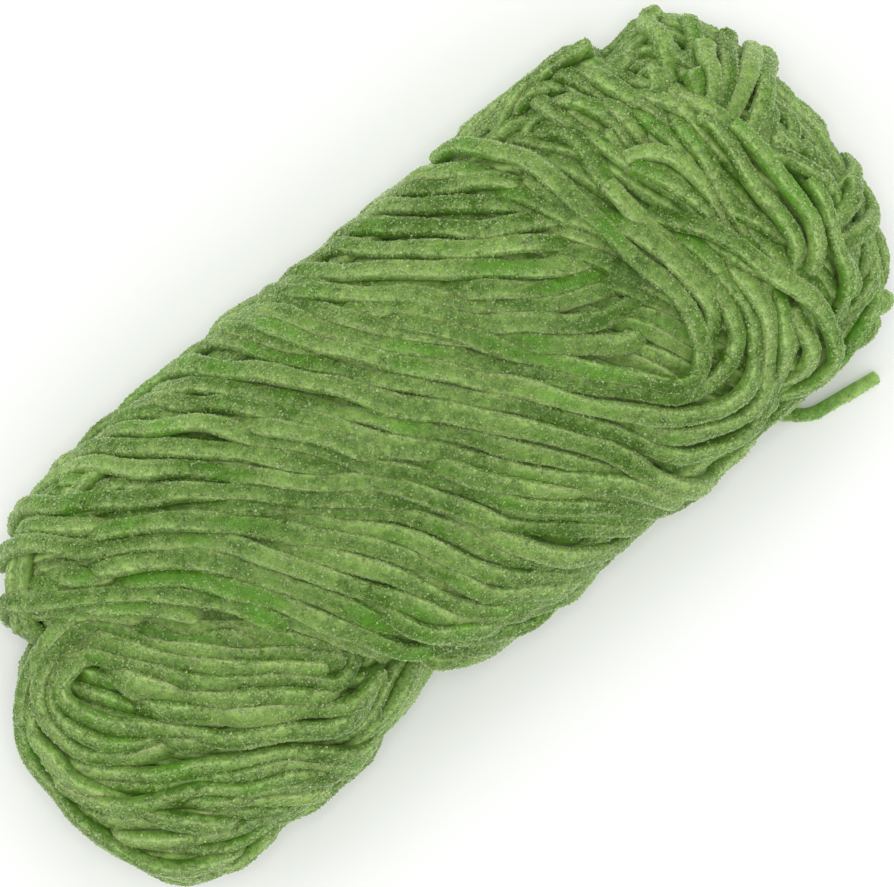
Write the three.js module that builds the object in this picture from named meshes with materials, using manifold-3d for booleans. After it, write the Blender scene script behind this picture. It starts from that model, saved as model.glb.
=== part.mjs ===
// A bundle of sour candy laces: one long hank folded back on itself, lying on its flat underside.
// Millimetres, +Z up. +X runs along the bundle from the folded end to the cut ends, z = 0 is the table.
// A route is a list of [x, y] points over the top of the bundle, or [x, y, z] points at its sides.
import * as THREE from 'three';
import { mergeVertices } from 'three/addons/utils/BufferGeometryUtils.js';
import Module from 'manifold-3d';

// Laces
const LACE_RADIUS = 1.95;
const LOOSE_RADIUS = 1.45;
const LACE_SIDES = 5;
const SHORT_LACE_STEP = 9;
const LONG_LACE_STEP = 13.5;
const LONG_LACE = 75;
const SUNK_IN_CORE = 0.9;
const TUCK_DEPTH = 4.5;
const TUCK_LENGTH = 12;

// Body of the bundle
const LEFT_TIP = -105.5;
const LEFT_CAP = 43.5;
const LEFT_ROUNDNESS = 2.1;
const RIGHT_TIP = 97.3;
const RIGHT_CAP = 52;
const RIGHT_ROUNDNESS = 5;
const HALF_WIDTH = 42.6;
const MID_HEIGHT = 24;
const TOP_RISE = 28;
const BOTTOM_DROP = 29.5;
const SECTION_ROUNDNESS = 2.4;
const MIDLINE_Y = 3;
const LEFT_SWAY = 11;
const LOBE_DROP = 5;

// Cleft where the main body folds over the lobe at the left end
const CLEFT_DEPTH = 6.5;
const CLEFT_REACH = 9;
const SHOULDER_DEPTH = 1.6;
const SHOULDER_REACH = 3.5;
const CLEFT_LINE = [
  [-97, 27], [-80, 23.5], [-68, 13], [-54, 0], [-46, -11], [-38.5, -25], [-30, -34], [-22, -44],
];

// Core mesh
const CORE_RINGS = 18;
const CORE_SIDES = 18;

// Laces that wrap over the top from the far edge to the near edge, left to right
const WRAP_GUIDES = [
  [[-88, 32], [-76, 25.5], [-64, 18.5], [-54, 8], [-47, -5], [-41, -20], [-27, -36]],
  [[-83.5, 38], [-70, 31.5], [-56, 24], [-44, 14], [-36, 0], [-29, -15], [-13, -37]],
  [[-78, 43.5], [-63, 36], [-47, 26], [-34, 12], [-20, -1], [-10, -18], [6, -38]],
  [[-58, 48], [-43, 41.5], [-31, 31], [-21, 17], [-11, 1], [-2, -17], [15, -39]],
  [[-36, 48.5], [-25, 41], [-14, 30], [-6, 17.5], [2, 2], [11, -16], [28, -39]],
];
const WRAPS_BETWEEN = [2, 2, 2, 2];

// Laces that bend back in a U near the cut ends, outermost first
const BEND_GUIDES = [
  [[-30, 47.5], [-20, 40.5], [-10, 30], [-2, 18], [6, 5], [16, -9], [26, -22], [34, -33], [44, -36.5],
    [56, -34], [66, -26], [70, -14], [71, 2], [69, 16]],
  [[-22, 46], [-12, 39], [-2, 29], [6, 17.5], [14, 5], [23, -8], [33, -20], [43, -28.5], [51, -30.5],
    [59, -26], [64, -16], [65.5, -6], [65, 4], [61, 16]],
  [[-17, 46], [-7, 38.5], [3, 28.5], [10, 17.5], [17.5, 5.5], [26, -6.5], [35, -16], [45, -23.5],
    [51, -23], [55.5, -16], [57, -6], [57, 2], [56, 9], [53, 18]],
];

// Laces that run inside the bends and pass under the crossing lace
const INNER_GUIDES = [
  [[-9, 45], [1, 36], [11, 25], [19, 13], [27, 2], [35, -7], [43, -14], [50, -17]],
  [[-3, 45], [7, 35.5], [16, 25], [24, 16], [32, 9], [40, 3], [46, 0], [52, -1]],
  [[6, 44.5], [15, 36.5], [23, 29], [30, 22], [37, 17], [42, 14], [46, 12.5], [51, 12]],
  [[15, 44], [22, 38.5], [28, 33], [34, 28], [39, 24.5], [43, 22], [47, 20], [51, 19]],
  [[26, 43.5], [31, 40], [35, 37], [38.5, 34], [41, 31.5], [43.5, 29.5], [46, 28], [49, 27]],
];

// Laces of the lobe, from the cleft down to the near edge
const LOBE_GUIDES = [
  [[-96, 18], [-92, 20], [-86, 22], [-80, 21.8], [-76, 20], [-67.5, 10], [-60, 2], [-50, -12], [-45, -22]],
  [[-99, 12], [-94, 15.5], [-88, 16.5], [-83, 12], [-76, 5], [-68, -2], [-60, -9], [-52, -17], [-39, -31]],
  [[-103, 5], [-99, 9.5], [-94, 10], [-88, 5], [-81, -1], [-73, -8], [-64, -15], [-55, -22], [-39, -36]],
  [[-105, -2], [-101, 1.5], [-97, 1], [-91, -5], [-84, -11], [-75, -17], [-66, -23], [-56, -30], [-41, -39]],
  [[-105, -12], [-102, -8], [-98, -9], [-93, -16], [-86, -22], [-78, -27], [-69, -32], [-61, -36], [-48, -40]],
  [[-104, -20], [-102, -18], [-99, -21], [-94, -26], [-88, -31], [-82, -34.5], [-75, -37], [-60, -40]],
];

// Laces lying on top of the others; each first point is a cut end
const CROSSING_LACE = [
  [34.5, 43], [38, 42], [41.5, 39.5], [44.5, 36.5], [47, 32], [48.8, 26], [50, 20], [50.8, 12], [52, 4],
  [53, -3], [52.8, -10], [51.5, -16], [48.5, -20], [44.5, -21], [40, -19], [35, -14.5], [29, -7.5],
];
const CUT_END_LACES = [
  [[72, 41.5], [65, 41.8], [60, 43], [55, 44], [50, 43], [45, 39]],
  [[53.5, 29], [54, 22], [54, 15], [54.5, 8]],
  [[58, 19.5], [60, 14], [63, 9], [66, 3], [67, -3]],
  [[63.5, 25.5], [64, 22], [66, 18], [69.5, 14], [72, 12], [73, 7]],
  [[79, 30], [76, 25], [74, 20], [74.5, 14]],
  [[85.5, 41], [85, 38], [84, 34], [83.5, 29]],
  [[92, 24.5], [88, 20], [84, 16], [80, 12], [78, 6]],
  [[95, 18.5], [90, 14], [86, 9], [84, 3], [84, -4]],
  [[97, -10], [93, -13], [88, -17], [84, -22]],
  [[84, -37], [80, -38], [75, -38], [70, -36.5], [64, -36]],
];
const TUCKED_LACES = [
  [[-33, 11.5], [-23, 4.5], [-12, -4.5], [-6, -14], [-1, -24], [8, -35]],
  [[64, 1], [67, -8], [72.5, -20], [72, -30], [60, -37]],
  [[49, 37], [52, 38.5], [55, 37.5], [58, 33.5], [59, 28], [58.3, 22], [57.5, 17]],
  [[60, 38], [62, 35], [65.5, 28], [68, 22], [70.5, 16], [71, 10]],
  [[70, 41], [76, 36], [80, 31], [81, 25]],
  [[78, 41], [84, 40], [88, 38], [89.5, 33], [88.5, 27], [86, 22]],
  [[82, 14], [82, 5], [81, 0], [80.5, -10], [79, -16], [76, -23]],
  [[90, 17], [93, 12], [96, 6], [96.5, 0], [95, -6], [92, -13]],
  [[88, 4], [88, -4], [87, -12], [84, -20], [80, -27], [74, -32]],
  [[94, -15], [92, -20], [91, -26], [87, -31], [82, -34], [76, -36]],
];

// Laces round the side of the cut-end half, at these heights
const BELT_ROUTE = [[48, -40], [70, -39], [88, -31], [97, -10], [96, 12], [88, 32], [70, 43], [46, 46]];
const BELT_HEIGHTS = [9, 17];

// The loose end that lies on the table
const LOOSE_END = [
  [44, -16, 1.2], [50, -29, 1.2], [54, -38, 1.2], [57, -41, 1.2], [60, -43.5, 1.2], [66, -44.8, 1.2],
  [75, -46.3, 1.2],
];

const clamp = THREE.MathUtils.clamp;
const smooth = THREE.MathUtils.smoothstep;

const midlineY = (x) => MIDLINE_Y - LEFT_SWAY * smooth(-x, 74, 102);

function topRise(x) {
  return TOP_RISE - LOBE_DROP * smooth(-x, 45, 80) - LACE_RADIUS;
}

// How far x has run into either round end: 0 in the middle, 1 at the tips
function endTerm(x) {
  const left = Math.max(0, (LEFT_TIP + LEFT_CAP - x) / (LEFT_CAP - LACE_RADIUS));
  const right = Math.max(0, (x - RIGHT_TIP + RIGHT_CAP) / (RIGHT_CAP - LACE_RADIUS));
  return left ** LEFT_ROUNDNESS + right ** RIGHT_ROUNDNESS;
}

// Under 1 inside the surface that the laces' centrelines follow, 1 on it
function bodyTerm(x, y, z) {
  const across = Math.abs(y - midlineY(x)) / (HALF_WIDTH - LACE_RADIUS);
  const rise = z > MID_HEIGHT ? topRise(x) : BOTTOM_DROP - LACE_RADIUS;
  const up = Math.abs(z - MID_HEIGHT) / rise;
  return across ** SECTION_ROUNDNESS + up ** SECTION_ROUNDNESS + endTerm(x);
}

// Height of that surface over a point of the plan, or the middle height outside it
function topHeight(x, y) {
  const across = Math.abs(y - midlineY(x)) / (HALF_WIDTH - LACE_RADIUS);
  const left = Math.max(0, 1 - across ** SECTION_ROUNDNESS - endTerm(x));
  return MID_HEIGHT + topRise(x) * left ** (1 / SECTION_ROUNDNESS);
}

// How deep the cleft presses the surface in at a point of the plan
function cleftDepth(x, y) {
  let nearest = Infinity;
  let onLobe = false;
  for (let i = 1; i < CLEFT_LINE.length; i += 1) {
    const [ax, ay] = CLEFT_LINE[i - 1];
    const [bx, by] = CLEFT_LINE[i];
    const dx = bx - ax;
    const dy = by - ay;
    const along = clamp(((x - ax) * dx + (y - ay) * dy) / (dx * dx + dy * dy), 0, 1);
    const distance = Math.hypot(x - ax - along * dx, y - ay - along * dy);
    if (distance < nearest) {
      nearest = distance;
      onLobe = dx * (y - ay) - dy * (x - ax) < 0;
    }
  }
  const deep = onLobe ? CLEFT_DEPTH : SHOULDER_DEPTH;
  const reach = onLobe ? CLEFT_REACH : SHOULDER_REACH;
  return deep * Math.exp(-((nearest / reach) ** 2));
}

// The point on the surface in the same direction from the body's middle, sunk by depth
function settled(point, depth) {
  const middleX = clamp(point.x, LEFT_TIP + LEFT_CAP, RIGHT_TIP - RIGHT_CAP);
  const middle = new THREE.Vector3(middleX, midlineY(middleX), MID_HEIGHT);
  const reach = point.clone().sub(middle);
  let inside = 0;
  let outside = 8;
  for (let i = 0; i < 30; i += 1) {
    const half = (inside + outside) / 2;
    const at = middle.clone().addScaledVector(reach, half);
    if (bodyTerm(at.x, at.y, at.z) < 1) inside = half;
    else outside = half;
  }
  const at = middle.clone().addScaledVector(reach, inside);
  const cleft = cleftDepth(at.x, at.y) * smooth(at.z, 4, MID_HEIGHT);
  at.addScaledVector(reach.normalize(), -depth - cleft);
  return at;
}

function routePoint([x, y, z]) {
  return new THREE.Vector3(x, y, z ?? topHeight(x, y));
}

function spline(points) {
  return new THREE.CatmullRomCurve3(points, false, 'centripetal');
}

// Points of a route spread evenly by length
function spread(route, count) {
  return spline(route.map(routePoint)).getSpacedPoints(count);
}

// Centreline of a lace over the body; ends that aren't cut ends sink into the core
function centreline(route, { cutStart = false, cutEnd = false, lift = 0 } = {}) {
  const curve = spline(route.map(routePoint));
  const length = curve.getLength();
  const step = length > LONG_LACE ? LONG_LACE_STEP : SHORT_LACE_STEP;
  const steps = Math.max(3, Math.round(length / step));
  const points = curve.getSpacedPoints(steps).map((point, i) => {
    const fromStart = (i / steps) * length;
    const startTuck = cutStart ? 0 : 1 - smooth(fromStart, 0, TUCK_LENGTH);
    const endTuck = cutEnd ? 0 : 1 - smooth(length - fromStart, 0, TUCK_LENGTH);
    return settled(point, TUCK_DEPTH * (startTuck + endTuck) - lift);
  });
  return spline(points);
}

// A closed tube with few sides along a curve
function tube(curve, radius) {
  const section = new THREE.Shape();
  for (let i = 0; i < LACE_SIDES; i += 1) {
    const angle = (i / LACE_SIDES) * 2 * Math.PI;
    if (i === 0) section.moveTo(radius, 0);
    else section.lineTo(radius * Math.cos(angle), radius * Math.sin(angle));
  }
  section.closePath();
  const steps = curve.points.length - 1;
  return new THREE.ExtrudeGeometry(section, { steps, extrudePath: curve, bevelEnabled: false });
}

// Guides and the routes between them, at even shares
function family(guides, between, points) {
  const spreads = guides.map((guide) => spread(guide, points));
  const routes = [];
  for (let i = 0; i + 1 < guides.length; i += 1) {
    for (let j = 0; j < between[i]; j += 1) {
      const share = j / between[i];
      routes.push(spreads[i].map((from, k) => from.clone().lerp(spreads[i + 1][k], share).toArray()));
    }
  }
  routes.push(spreads.at(-1).map((point) => point.toArray()));
  return routes;
}

// Round the far edge from below
function fromBelow([x, y]) {
  return [[x - 9, y - 15, 2], [x - 4, y - 1, 10]];
}

// Round the near edge to below
function toBelow([x, y]) {
  return [[x + 5, y + 1, 10], [x + 12, y + 15, 2]];
}

// The lobe's laces turn round the left end from below
function roundLeftEnd([x, y]) {
  return [[x + 14, 0.6 * y - 8, 2], [x + 2, 0.85 * y - 3, 10]];
}

function laceCurves() {
  const curves = [];
  family(WRAP_GUIDES, WRAPS_BETWEEN, 12).forEach((route) => {
    curves.push(centreline([...fromBelow(route[0]), ...route, ...toBelow(route.at(-1))]));
  });
  family(BEND_GUIDES, [1, 1], 24).forEach((route) => {
    curves.push(centreline([...fromBelow(route[0]), ...route]));
  });
  family(INNER_GUIDES, [1, 1, 1, 1], 12).forEach((route) => {
    curves.push(centreline([...fromBelow(route[0]), ...route]));
  });
  family(LOBE_GUIDES, [1, 1, 1, 1, 1], 14).forEach((route) => {
    curves.push(centreline([...roundLeftEnd(route[0]), ...route]));
  });
  BELT_HEIGHTS.forEach((z) => {
    curves.push(centreline(BELT_ROUTE.map(([x, y]) => [x, y, z])));
  });
  TUCKED_LACES.forEach((route) => curves.push(centreline(route, { lift: 0.8 })));
  CUT_END_LACES.forEach((route) => curves.push(centreline(route, { cutStart: true, lift: 1.6 })));
  curves.push(centreline(CROSSING_LACE, { cutStart: true, lift: 2.2 }));
  return curves;
}

// The body that the laces are wound on: a sphere drawn out to the bundle's form
function coreGeometry() {
  const geometry = new THREE.SphereGeometry(1, CORE_SIDES, CORE_RINGS).rotateZ(Math.PI / 2);
  const position = geometry.getAttribute('position');
  const centreX = (LEFT_TIP + RIGHT_TIP) / 2;
  const halfLength = (RIGHT_TIP - LEFT_TIP) / 2 - LACE_RADIUS - SUNK_IN_CORE;
  for (let i = 0; i < position.count; i += 1) {
    const x = centreX + halfLength * position.getX(i);
    const girth = Math.max(0, 1 - endTerm(x)) ** (1 / SECTION_ROUNDNESS);
    const angle = Math.atan2(position.getZ(i), position.getY(i));
    const round = 2 / SECTION_ROUNDNESS;
    const across = Math.sign(Math.cos(angle)) * Math.abs(Math.cos(angle)) ** round;
    const up = Math.sign(Math.sin(angle)) * Math.abs(Math.sin(angle)) ** round;
    const rise = up > 0 ? topRise(x) : BOTTOM_DROP - LACE_RADIUS;
    const halfWidth = HALF_WIDTH - LACE_RADIUS;
    const point = new THREE.Vector3(
      x, midlineY(x) + halfWidth * girth * across, MID_HEIGHT + rise * girth * up,
    );
    const at = girth > 0 ? settled(point, SUNK_IN_CORE) : point;
    position.setXYZ(i, at.x, at.y, at.z);
  }
  return geometry;
}

const wasm = await Module();
wasm.setup();

function solid(geometry) {
  const bare = new THREE.BufferGeometry();
  bare.setAttribute('position', geometry.getAttribute('position'));
  bare.setIndex(geometry.getIndex());
  const merged = mergeVertices(bare, 1e-3);
  return new wasm.Manifold(new wasm.Mesh({
    numProp: 3,
    vertProperties: new Float32Array(merged.getAttribute('position').array),
    triVerts: new Uint32Array(merged.getIndex().array),
  }));
}

// Everything above the table, which presses the underside flat
function aboveTable() {
  const side = 400;
  return solid(new THREE.BoxGeometry(side, side, side).translate(0, 0, side / 2));
}

// The largest closed surface alone: sealed hollows are filled and loose scraps dropped
function largestBody(manifold) {
  return manifold.decompose().reduce((best, one) => (one.volume() > best.volume() ? one : best));
}

function bundleGeometry() {
  let joined = solid(coreGeometry());
  laceCurves().forEach((curve) => {
    joined = joined.add(solid(tube(curve, LACE_RADIUS)));
  });
  const loose = spline(LOOSE_END.map(routePoint));
  joined = joined.add(solid(tube(loose, LOOSE_RADIUS)));
  const mesh = largestBody(joined.intersect(aboveTable())).getMesh();
  const geometry = new THREE.BufferGeometry();
  geometry.setAttribute('position', new THREE.BufferAttribute(mesh.vertProperties, 3));
  geometry.setIndex(new THREE.BufferAttribute(mesh.triVerts, 1));
  return geometry;
}

// Puts the middle of the bounding box over the origin
function centred(geometry) {
  geometry.computeBoundingBox();
  const middle = geometry.boundingBox.getCenter(new THREE.Vector3());
  return geometry.translate(-middle.x, -middle.y, 0);
}

const candyGreen = new THREE.MeshStandardMaterial({ color: 0x6f9a45, roughness: 0.7, metalness: 0 });

const laceBundle = new THREE.Mesh(centred(bundleGeometry()), candyGreen);
laceBundle.name = 'lace_bundle';

const bundle = new THREE.Group();
bundle.add(laceBundle);

export default bundle;
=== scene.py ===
"""Sour candy laces: a hank of green sugared laces, folded and twisted, lying on its flat underside."""

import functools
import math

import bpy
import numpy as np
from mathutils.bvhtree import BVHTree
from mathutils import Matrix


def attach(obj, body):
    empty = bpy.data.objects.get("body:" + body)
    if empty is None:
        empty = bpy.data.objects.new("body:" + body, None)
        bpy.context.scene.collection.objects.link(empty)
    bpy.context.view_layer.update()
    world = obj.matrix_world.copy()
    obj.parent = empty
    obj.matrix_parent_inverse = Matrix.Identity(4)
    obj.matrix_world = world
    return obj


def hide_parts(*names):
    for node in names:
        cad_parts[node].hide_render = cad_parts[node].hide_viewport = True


bl_info = {
    "name": "Sour candy laces",
    "version": (1, 0, 0),
    "blender": (4, 5, 0),
    "location": "3D View > Sidebar > Candy",
    "description": "Builds a bundle of sugared candy laces and a soft studio stage",
    "category": "Add Mesh",
}

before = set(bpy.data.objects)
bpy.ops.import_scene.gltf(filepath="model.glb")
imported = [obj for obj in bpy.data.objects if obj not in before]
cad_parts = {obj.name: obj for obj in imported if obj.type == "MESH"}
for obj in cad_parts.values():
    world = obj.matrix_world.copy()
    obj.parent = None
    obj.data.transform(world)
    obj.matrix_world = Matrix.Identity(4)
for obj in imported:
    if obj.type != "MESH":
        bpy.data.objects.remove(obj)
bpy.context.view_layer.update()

MM = 0.001
NODE = "lace_bundle"

# Routes are in millimetres. The bundle's frame stands on this point of their plan.
PLAN_MIDDLE = np.array([-3.684, -0.484, 0.0])

# Body of the bundle, as in the part's source
LACE_RADIUS = 1.95
LEFT_TIP = -105.5
LEFT_CAP = 43.5
LEFT_ROUNDNESS = 2.1
RIGHT_TIP = 97.3
RIGHT_CAP = 52.0
RIGHT_ROUNDNESS = 5.0
HALF_WIDTH = 42.6
MID_HEIGHT = 24.0
TOP_RISE = 28.0
BOTTOM_DROP = 29.5
SECTION_ROUNDNESS = 2.4
MIDLINE_Y = 3.0
LEFT_SWAY = 11.0
LOBE_DROP = 5.0

# Cleft where the main body folds over the lobe
CLEFT_DEPTH = 6.5
CLEFT_REACH = 9.0
SHOULDER_DEPTH = 1.6
SHOULDER_REACH = 3.5
# How far the far edge draws in beside the topmost cut ends
EDGE_DENT = 5.5
CLEFT_LINE = np.array([
    [-97, 27], [-80, 23.5], [-68, 13], [-54, 0], [-46, -11], [-38.5, -25], [-30, -34], [-22, -44],
], float)

# Laces lie this far apart where they aren't crowded
LACE_PITCH = 3.6
TUCK_DEPTH = 4.0
TUCK_LENGTH = 11.0

# Laces press against each other until their middles are this share of their thickness apart
PRESSED_LEAST = 0.9
PRESSED_MOST = 0.66
# Laces of these pieces are pressed harder, as if they were this much thinner
PRESSED_HARDER = {"lobe_laces": 0.86, "cut_end_laces": 0.92, "side_laces": 0.92}
PRESS_ROUNDS = 45
HOME_PULL = 0.05
# Deep laces give way to those on top
DEEP_WEIGHT = 0.25
# Half the width that a groove keeps open
GROOVE_RADIUS = 0.5

# Laces that wrap over the top from the far edge to the near edge, left to right
WRAP_GUIDES = [
    [(-86.5, 31), (-82, 27), (-69, 19), (-57.5, 7.5), (-49, -5.5), (-43.5, -19), (-39, -26),
     (-33, -31.5), (-26, -35.5), (-18.5, -38), (-11, -38)],
    [(-80.5, 38.5), (-68.5, 29), (-55, 20), (-49, 14.5), (-39.5, 1), (-30.5, -13), (-23, -25.5),
     (-19, -30), (-14, -33.5), (-4, -37.5)],
    [(-75, 44), (-63, 35.5), (-41.5, 21), (-29, 10.5), (-18.5, 1.5), (-11.5, -5.5), (-8, -11),
     (0.5, -29), (4.5, -33.5), (9.5, -37), (14.5, -39)],
    [(-66, 45), (-55.5, 38.5), (-41, 27), (-30.5, 15), (-18.5, 4), (-13.5, -2), (-4.5, -16),
     (-0.5, -21), (3.5, -25.5), (12.5, -33.5), (18, -36.5), (23, -38)],
    [(-60.5, 46.5), (-56, 45.5), (-46, 40.5), (-36, 33.5), (-30, 28), (-20.5, 14.5), (-11, 1),
     (-2, -10), (1, -16), (5, -20.5), (15.5, -29.5), (25, -37.5), (29, -38.5)],
    [(-55.5, 47.5), (-51, 47), (-45, 44.5), (-38.5, 41), (-27, 31.5), (-21.5, 25.5), (-13, 12.5),
     (-8, 4.5), (-2.5, -1.5), (5.5, -13.5), (14, -22), (23, -30), (25.5, -34.5)],
    [(-44.5, 48.5), (-35, 45.5), (-29, 42), (-22.5, 37), (-17, 31), (-7.5, 17.5), (-2.5, 11), (8, -1.5),
     (22, -19), (24.5, -24), (27, -33), (30, -36.5), (34.5, -38.5)],
]
WRAPS_BETWEEN = [3, 5, 1, 2, 2, 2]
# The first laces of the wraps fold at the left end; those between them start this far in
FOLDED_GUIDES = 3
LATE_START = 0.13

# Laces that bend back in a U near the cut ends, outermost first
BEND_GUIDES = [
    [(-36.5, 48.5), (-26, 45), (-14, 34.5), (-4.5, 21), (5.5, 8), (15.5, -4.5), (26.5, -20),
     (32, -30.5), (34.5, -33.5), (39.5, -35.5), (45, -36.5), (51.5, -36), (57, -33.5),  (63.5, -29), (66, -25.5), (68, -20.5), (68.5, -16.5), (68, -12.5)],
    [(-23.5, 46.5), (-19, 44.5), (-14.5, 40.5), (-7, 30.5), (2.5, 17), (13, 4.5), (23, -8), (30.5, -18),
     (39.5, -26), (44, -28.5), (49, -29.5), (54, -29),  (59.5, -25.5), (62, -22), (63.5, -18), (63.5, -13.5), (63.5, -9), (61, 5)],
    [(-17, 45), (-12.5, 42.5), (-8.5, 38.5), (0, 26.5), (15, 7), (25.5, -5.5), (29.5, -10),
     (42.5, -22.5), (47, -24.5), (51.5, -24.5),  (56, -22.5), (58.5, -19), (60.5, -14.5), (60, -6), (58, 9), (57, 17.5)],
]
BENDS_BETWEEN = [2, 1]

# Laces that run inside the bends and pass under the crossing lace
INNER_GUIDES = [
    [(-13, 45), (-7, 39.5), (3, 27), (8.5, 21), (20, 9.5), (29.5, -0.5), (35.5, -5.5), (41, -9),
     (46.5, -10)],
    [(-10.5, 45.5), (0.5, 36.5), (16, 23.5), (26, 13.5), (32, 8.5), (37.5, 5.5), (48, 1)],
    [(-4.5, 45), (5, 38.5), (19, 27.5), (27, 21), (39.5, 11.5), (49, 7)],
    [(8.5, 44.5), (18.5, 39), (33.5, 26), (40, 22.5), (46, 20.5)],
    [(21.5, 44), (31.5, 39), (46.5, 29)],
    [(27.5, 43), (35.5, 39.5), (44, 33.5)],
]
INNERS_BETWEEN = [2, 2, 2, 2, 1]

# Laces of the lobe, from the loops that turn round its left end to its near side
LOBE_LOOPS = 3
LOBE_LACES = [
    [(-41.5, -26), (-45.5, -18.5), (-50, -11.5), (-57, -4), (-62, 2), (-66.5, 8), (-69.5, 13.5),
     (-74, 18), (-78, 21), (-83, 22.5), (-87.5, 21.5), (-92, 19), (-96, 15), (-99, 10.5), (-101.5, 5.5),
     (-102, -1), (-102, -8), (-100.5, -15), (-98.5, -22.5), (-94.5, -28.5), (-88, -33), (-78.5, -36.5),
     (-69, -38.5)],
    [(-43.5, -28.5), (-46.5, -21), (-51, -14.5), (-57.5, -8), (-65, -1), (-70, 5), (-77.5, 15),
     (-81, 17.5), (-85.5, 18.5), (-89.5, 16.5), (-93.5, 13), (-95.5, 9), (-95.5, 4), (-92.5, -2.5),
     (-88, -7), (-82, -10.5), (-76.5, -13.5)],
    [(-40, -27), (-44, -27.5), (-48, -25), (-53, -18.5), (-61, -12), (-68.5, -5.5), (-75, 2.5),
     (-81, 11.5), (-83.5, 14.5), (-87, 14.5), (-89.5, 12.5), (-90.5, 9), (-90, 5), (-87.5, 0),
     (-82.5, -5), (-75, -13.5), (-58.5, -25), (-50.5, -31), (-43, -35.5)],
    [(-83, 2.5), (-79, -2.5), (-72, -9.5), (-56.5, -22.5), (-49, -28.5), (-40, -34)],
    [(-97, 12.5), (-99, 8), (-100, 2.5), (-98.5, -2.5), (-96, -7), (-89.5, -12), (-74, -21.5),
     (-64, -28), (-54.5, -35.5), (-47, -40)],
    [(-100, 7.5), (-101.5, 0.5), (-100.5, -6), (-96.5, -12), (-89, -17), (-73, -26.5), (-65, -32),
     (-56, -37), (-50.5, -38.5)],
    [(-101.5, 2), (-102.5, -5.5), (-101, -11.5), (-97.5, -16.5), (-92, -21), (-85, -25.5),
     (-76.5, -30.5), (-67.5, -35), (-58.5, -38.5)],
    [(-103, -7.5), (-101.5, -15), (-98, -20.5), (-93, -25.5), (-78.5, -33), (-69, -37), (-62.5, -38.5)],
    [(-102.5, -14.5), (-100.5, -21.5), (-96.5, -28), (-92, -31.5), (-83.5, -35.5), (-73.5, -38)],
    [(-102, -20.5), (-99, -27.5), (-94.5, -33), (-88, -36.5), (-80, -39)],
]

# Between the lobe's innermost loop and the lace inside it
LOBE_INSIDE = [
    (-46, -29.5), (-52.5, -21.5), (-60, -15.5), (-68, -9.5), (-74.5, -2.5), (-80.5, 5.5), (-84, 10),
]

# Laces round the side of the lobe, at these heights
LOBE_ROUTE = [(-84, 22), (-93, 21), (-100, 10), (-104, -4), (-103, -20), (-93, -34), (-75, -40), (-44, -40)]
LOBE_HEIGHTS = [4.5, 8.2, 11.9, 15.6, 19.3, 23.0, 26.7, 30.4]
# Laces behind the folds
FOLD_BACK_ROUTE = [(-62, 44), (-72, 40), (-82, 32), (-90, 24), (-97, 13), (-101, 2)]
FOLD_BACK_HEIGHTS = [5, 9, 13, 17, 21, 25, 29, 33]

# Laces under the fan of cut ends, left to right
FAN_GUIDES = [
    [(60, -35), (68, -24), (69, -6), (66, 14), (60, 32), (54, 44)],
    [(74, -36), (79, -20), (80, 0), (78, 18), (73, 32), (66, 43)],
    [(86, -30), (91, -14), (91, 4), (88, 20), (84, 32), (78, 41)],
]
FANS_BETWEEN = [4, 3]

CROSSING_LACE = [
    (34.5, 43), (38, 42), (41.5, 39.5), (44.5, 36.5), (47, 32), (48.8, 26), (50, 20), (50.8, 12), (52, 4),
    (53, -3), (52.8, -10), (51.5, -16), (48.5, -20), (44.5, -21), (40, -18.5), (35, -13), (29, -5),
    (22, 4), (14, 15), (8, 23), (3, 30),
]
# Each first point is a cut end
CUT_END_LACES = [
    [(71.5, 40.5, 37), (65.5, 42, 37), (52, 44.5, 36), (47.5, 44.5, 36)],
    [(85, 36.5), (83.5, 37), (82.5, 35), (82.5, 32), (81, 26)],
    [(88.5, 26), (86.5, 23), (85.5, 19), (83, 16), (81, 14)],
    [(92.5, 24.5), (88, 19), (82, 14.5)],
    [(94, 20), (82, 12)],
    [(95, 17), (93, 14), (83, 5.5)],
    [(78, 16), (79, 13.5), (78.5, 9.5), (77.5, 2), (77.5, -5.5), (74, -22.5)],
    [(82.5, 11), (82.5, -4), (81.5, -12), (80.5, -15.5), (75, -26)],
    [(86.5, -6.5), (84, -17), (82.5, -21), (75.5, -31.5)],
    [(96, -9), (91, -12.5)],
    [(96.5, -12.5), (94.5, -15.5), (84.5, -21.5)],
    [(92.5, -12), (87, -17), (84.5, -20.5)],
    [(85.5, -35), (78, -34.5)],
    [(82.5, -38.5), (69.5, -36.5)],
    [(63, 25), (64.5, 17)],
    [(62, 18.5), (66, 17), (69, 14), (70, 10.5), (70.5, 2), (70, -6.5)],
    [(90, -2), (89, -11)],
    [(82.5, 23.5), (81, 18), (79, 16)],
    [(61.5, 16), (67.5, 5.5), (68.5, 1.5), (69, -7.5)],
]
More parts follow.
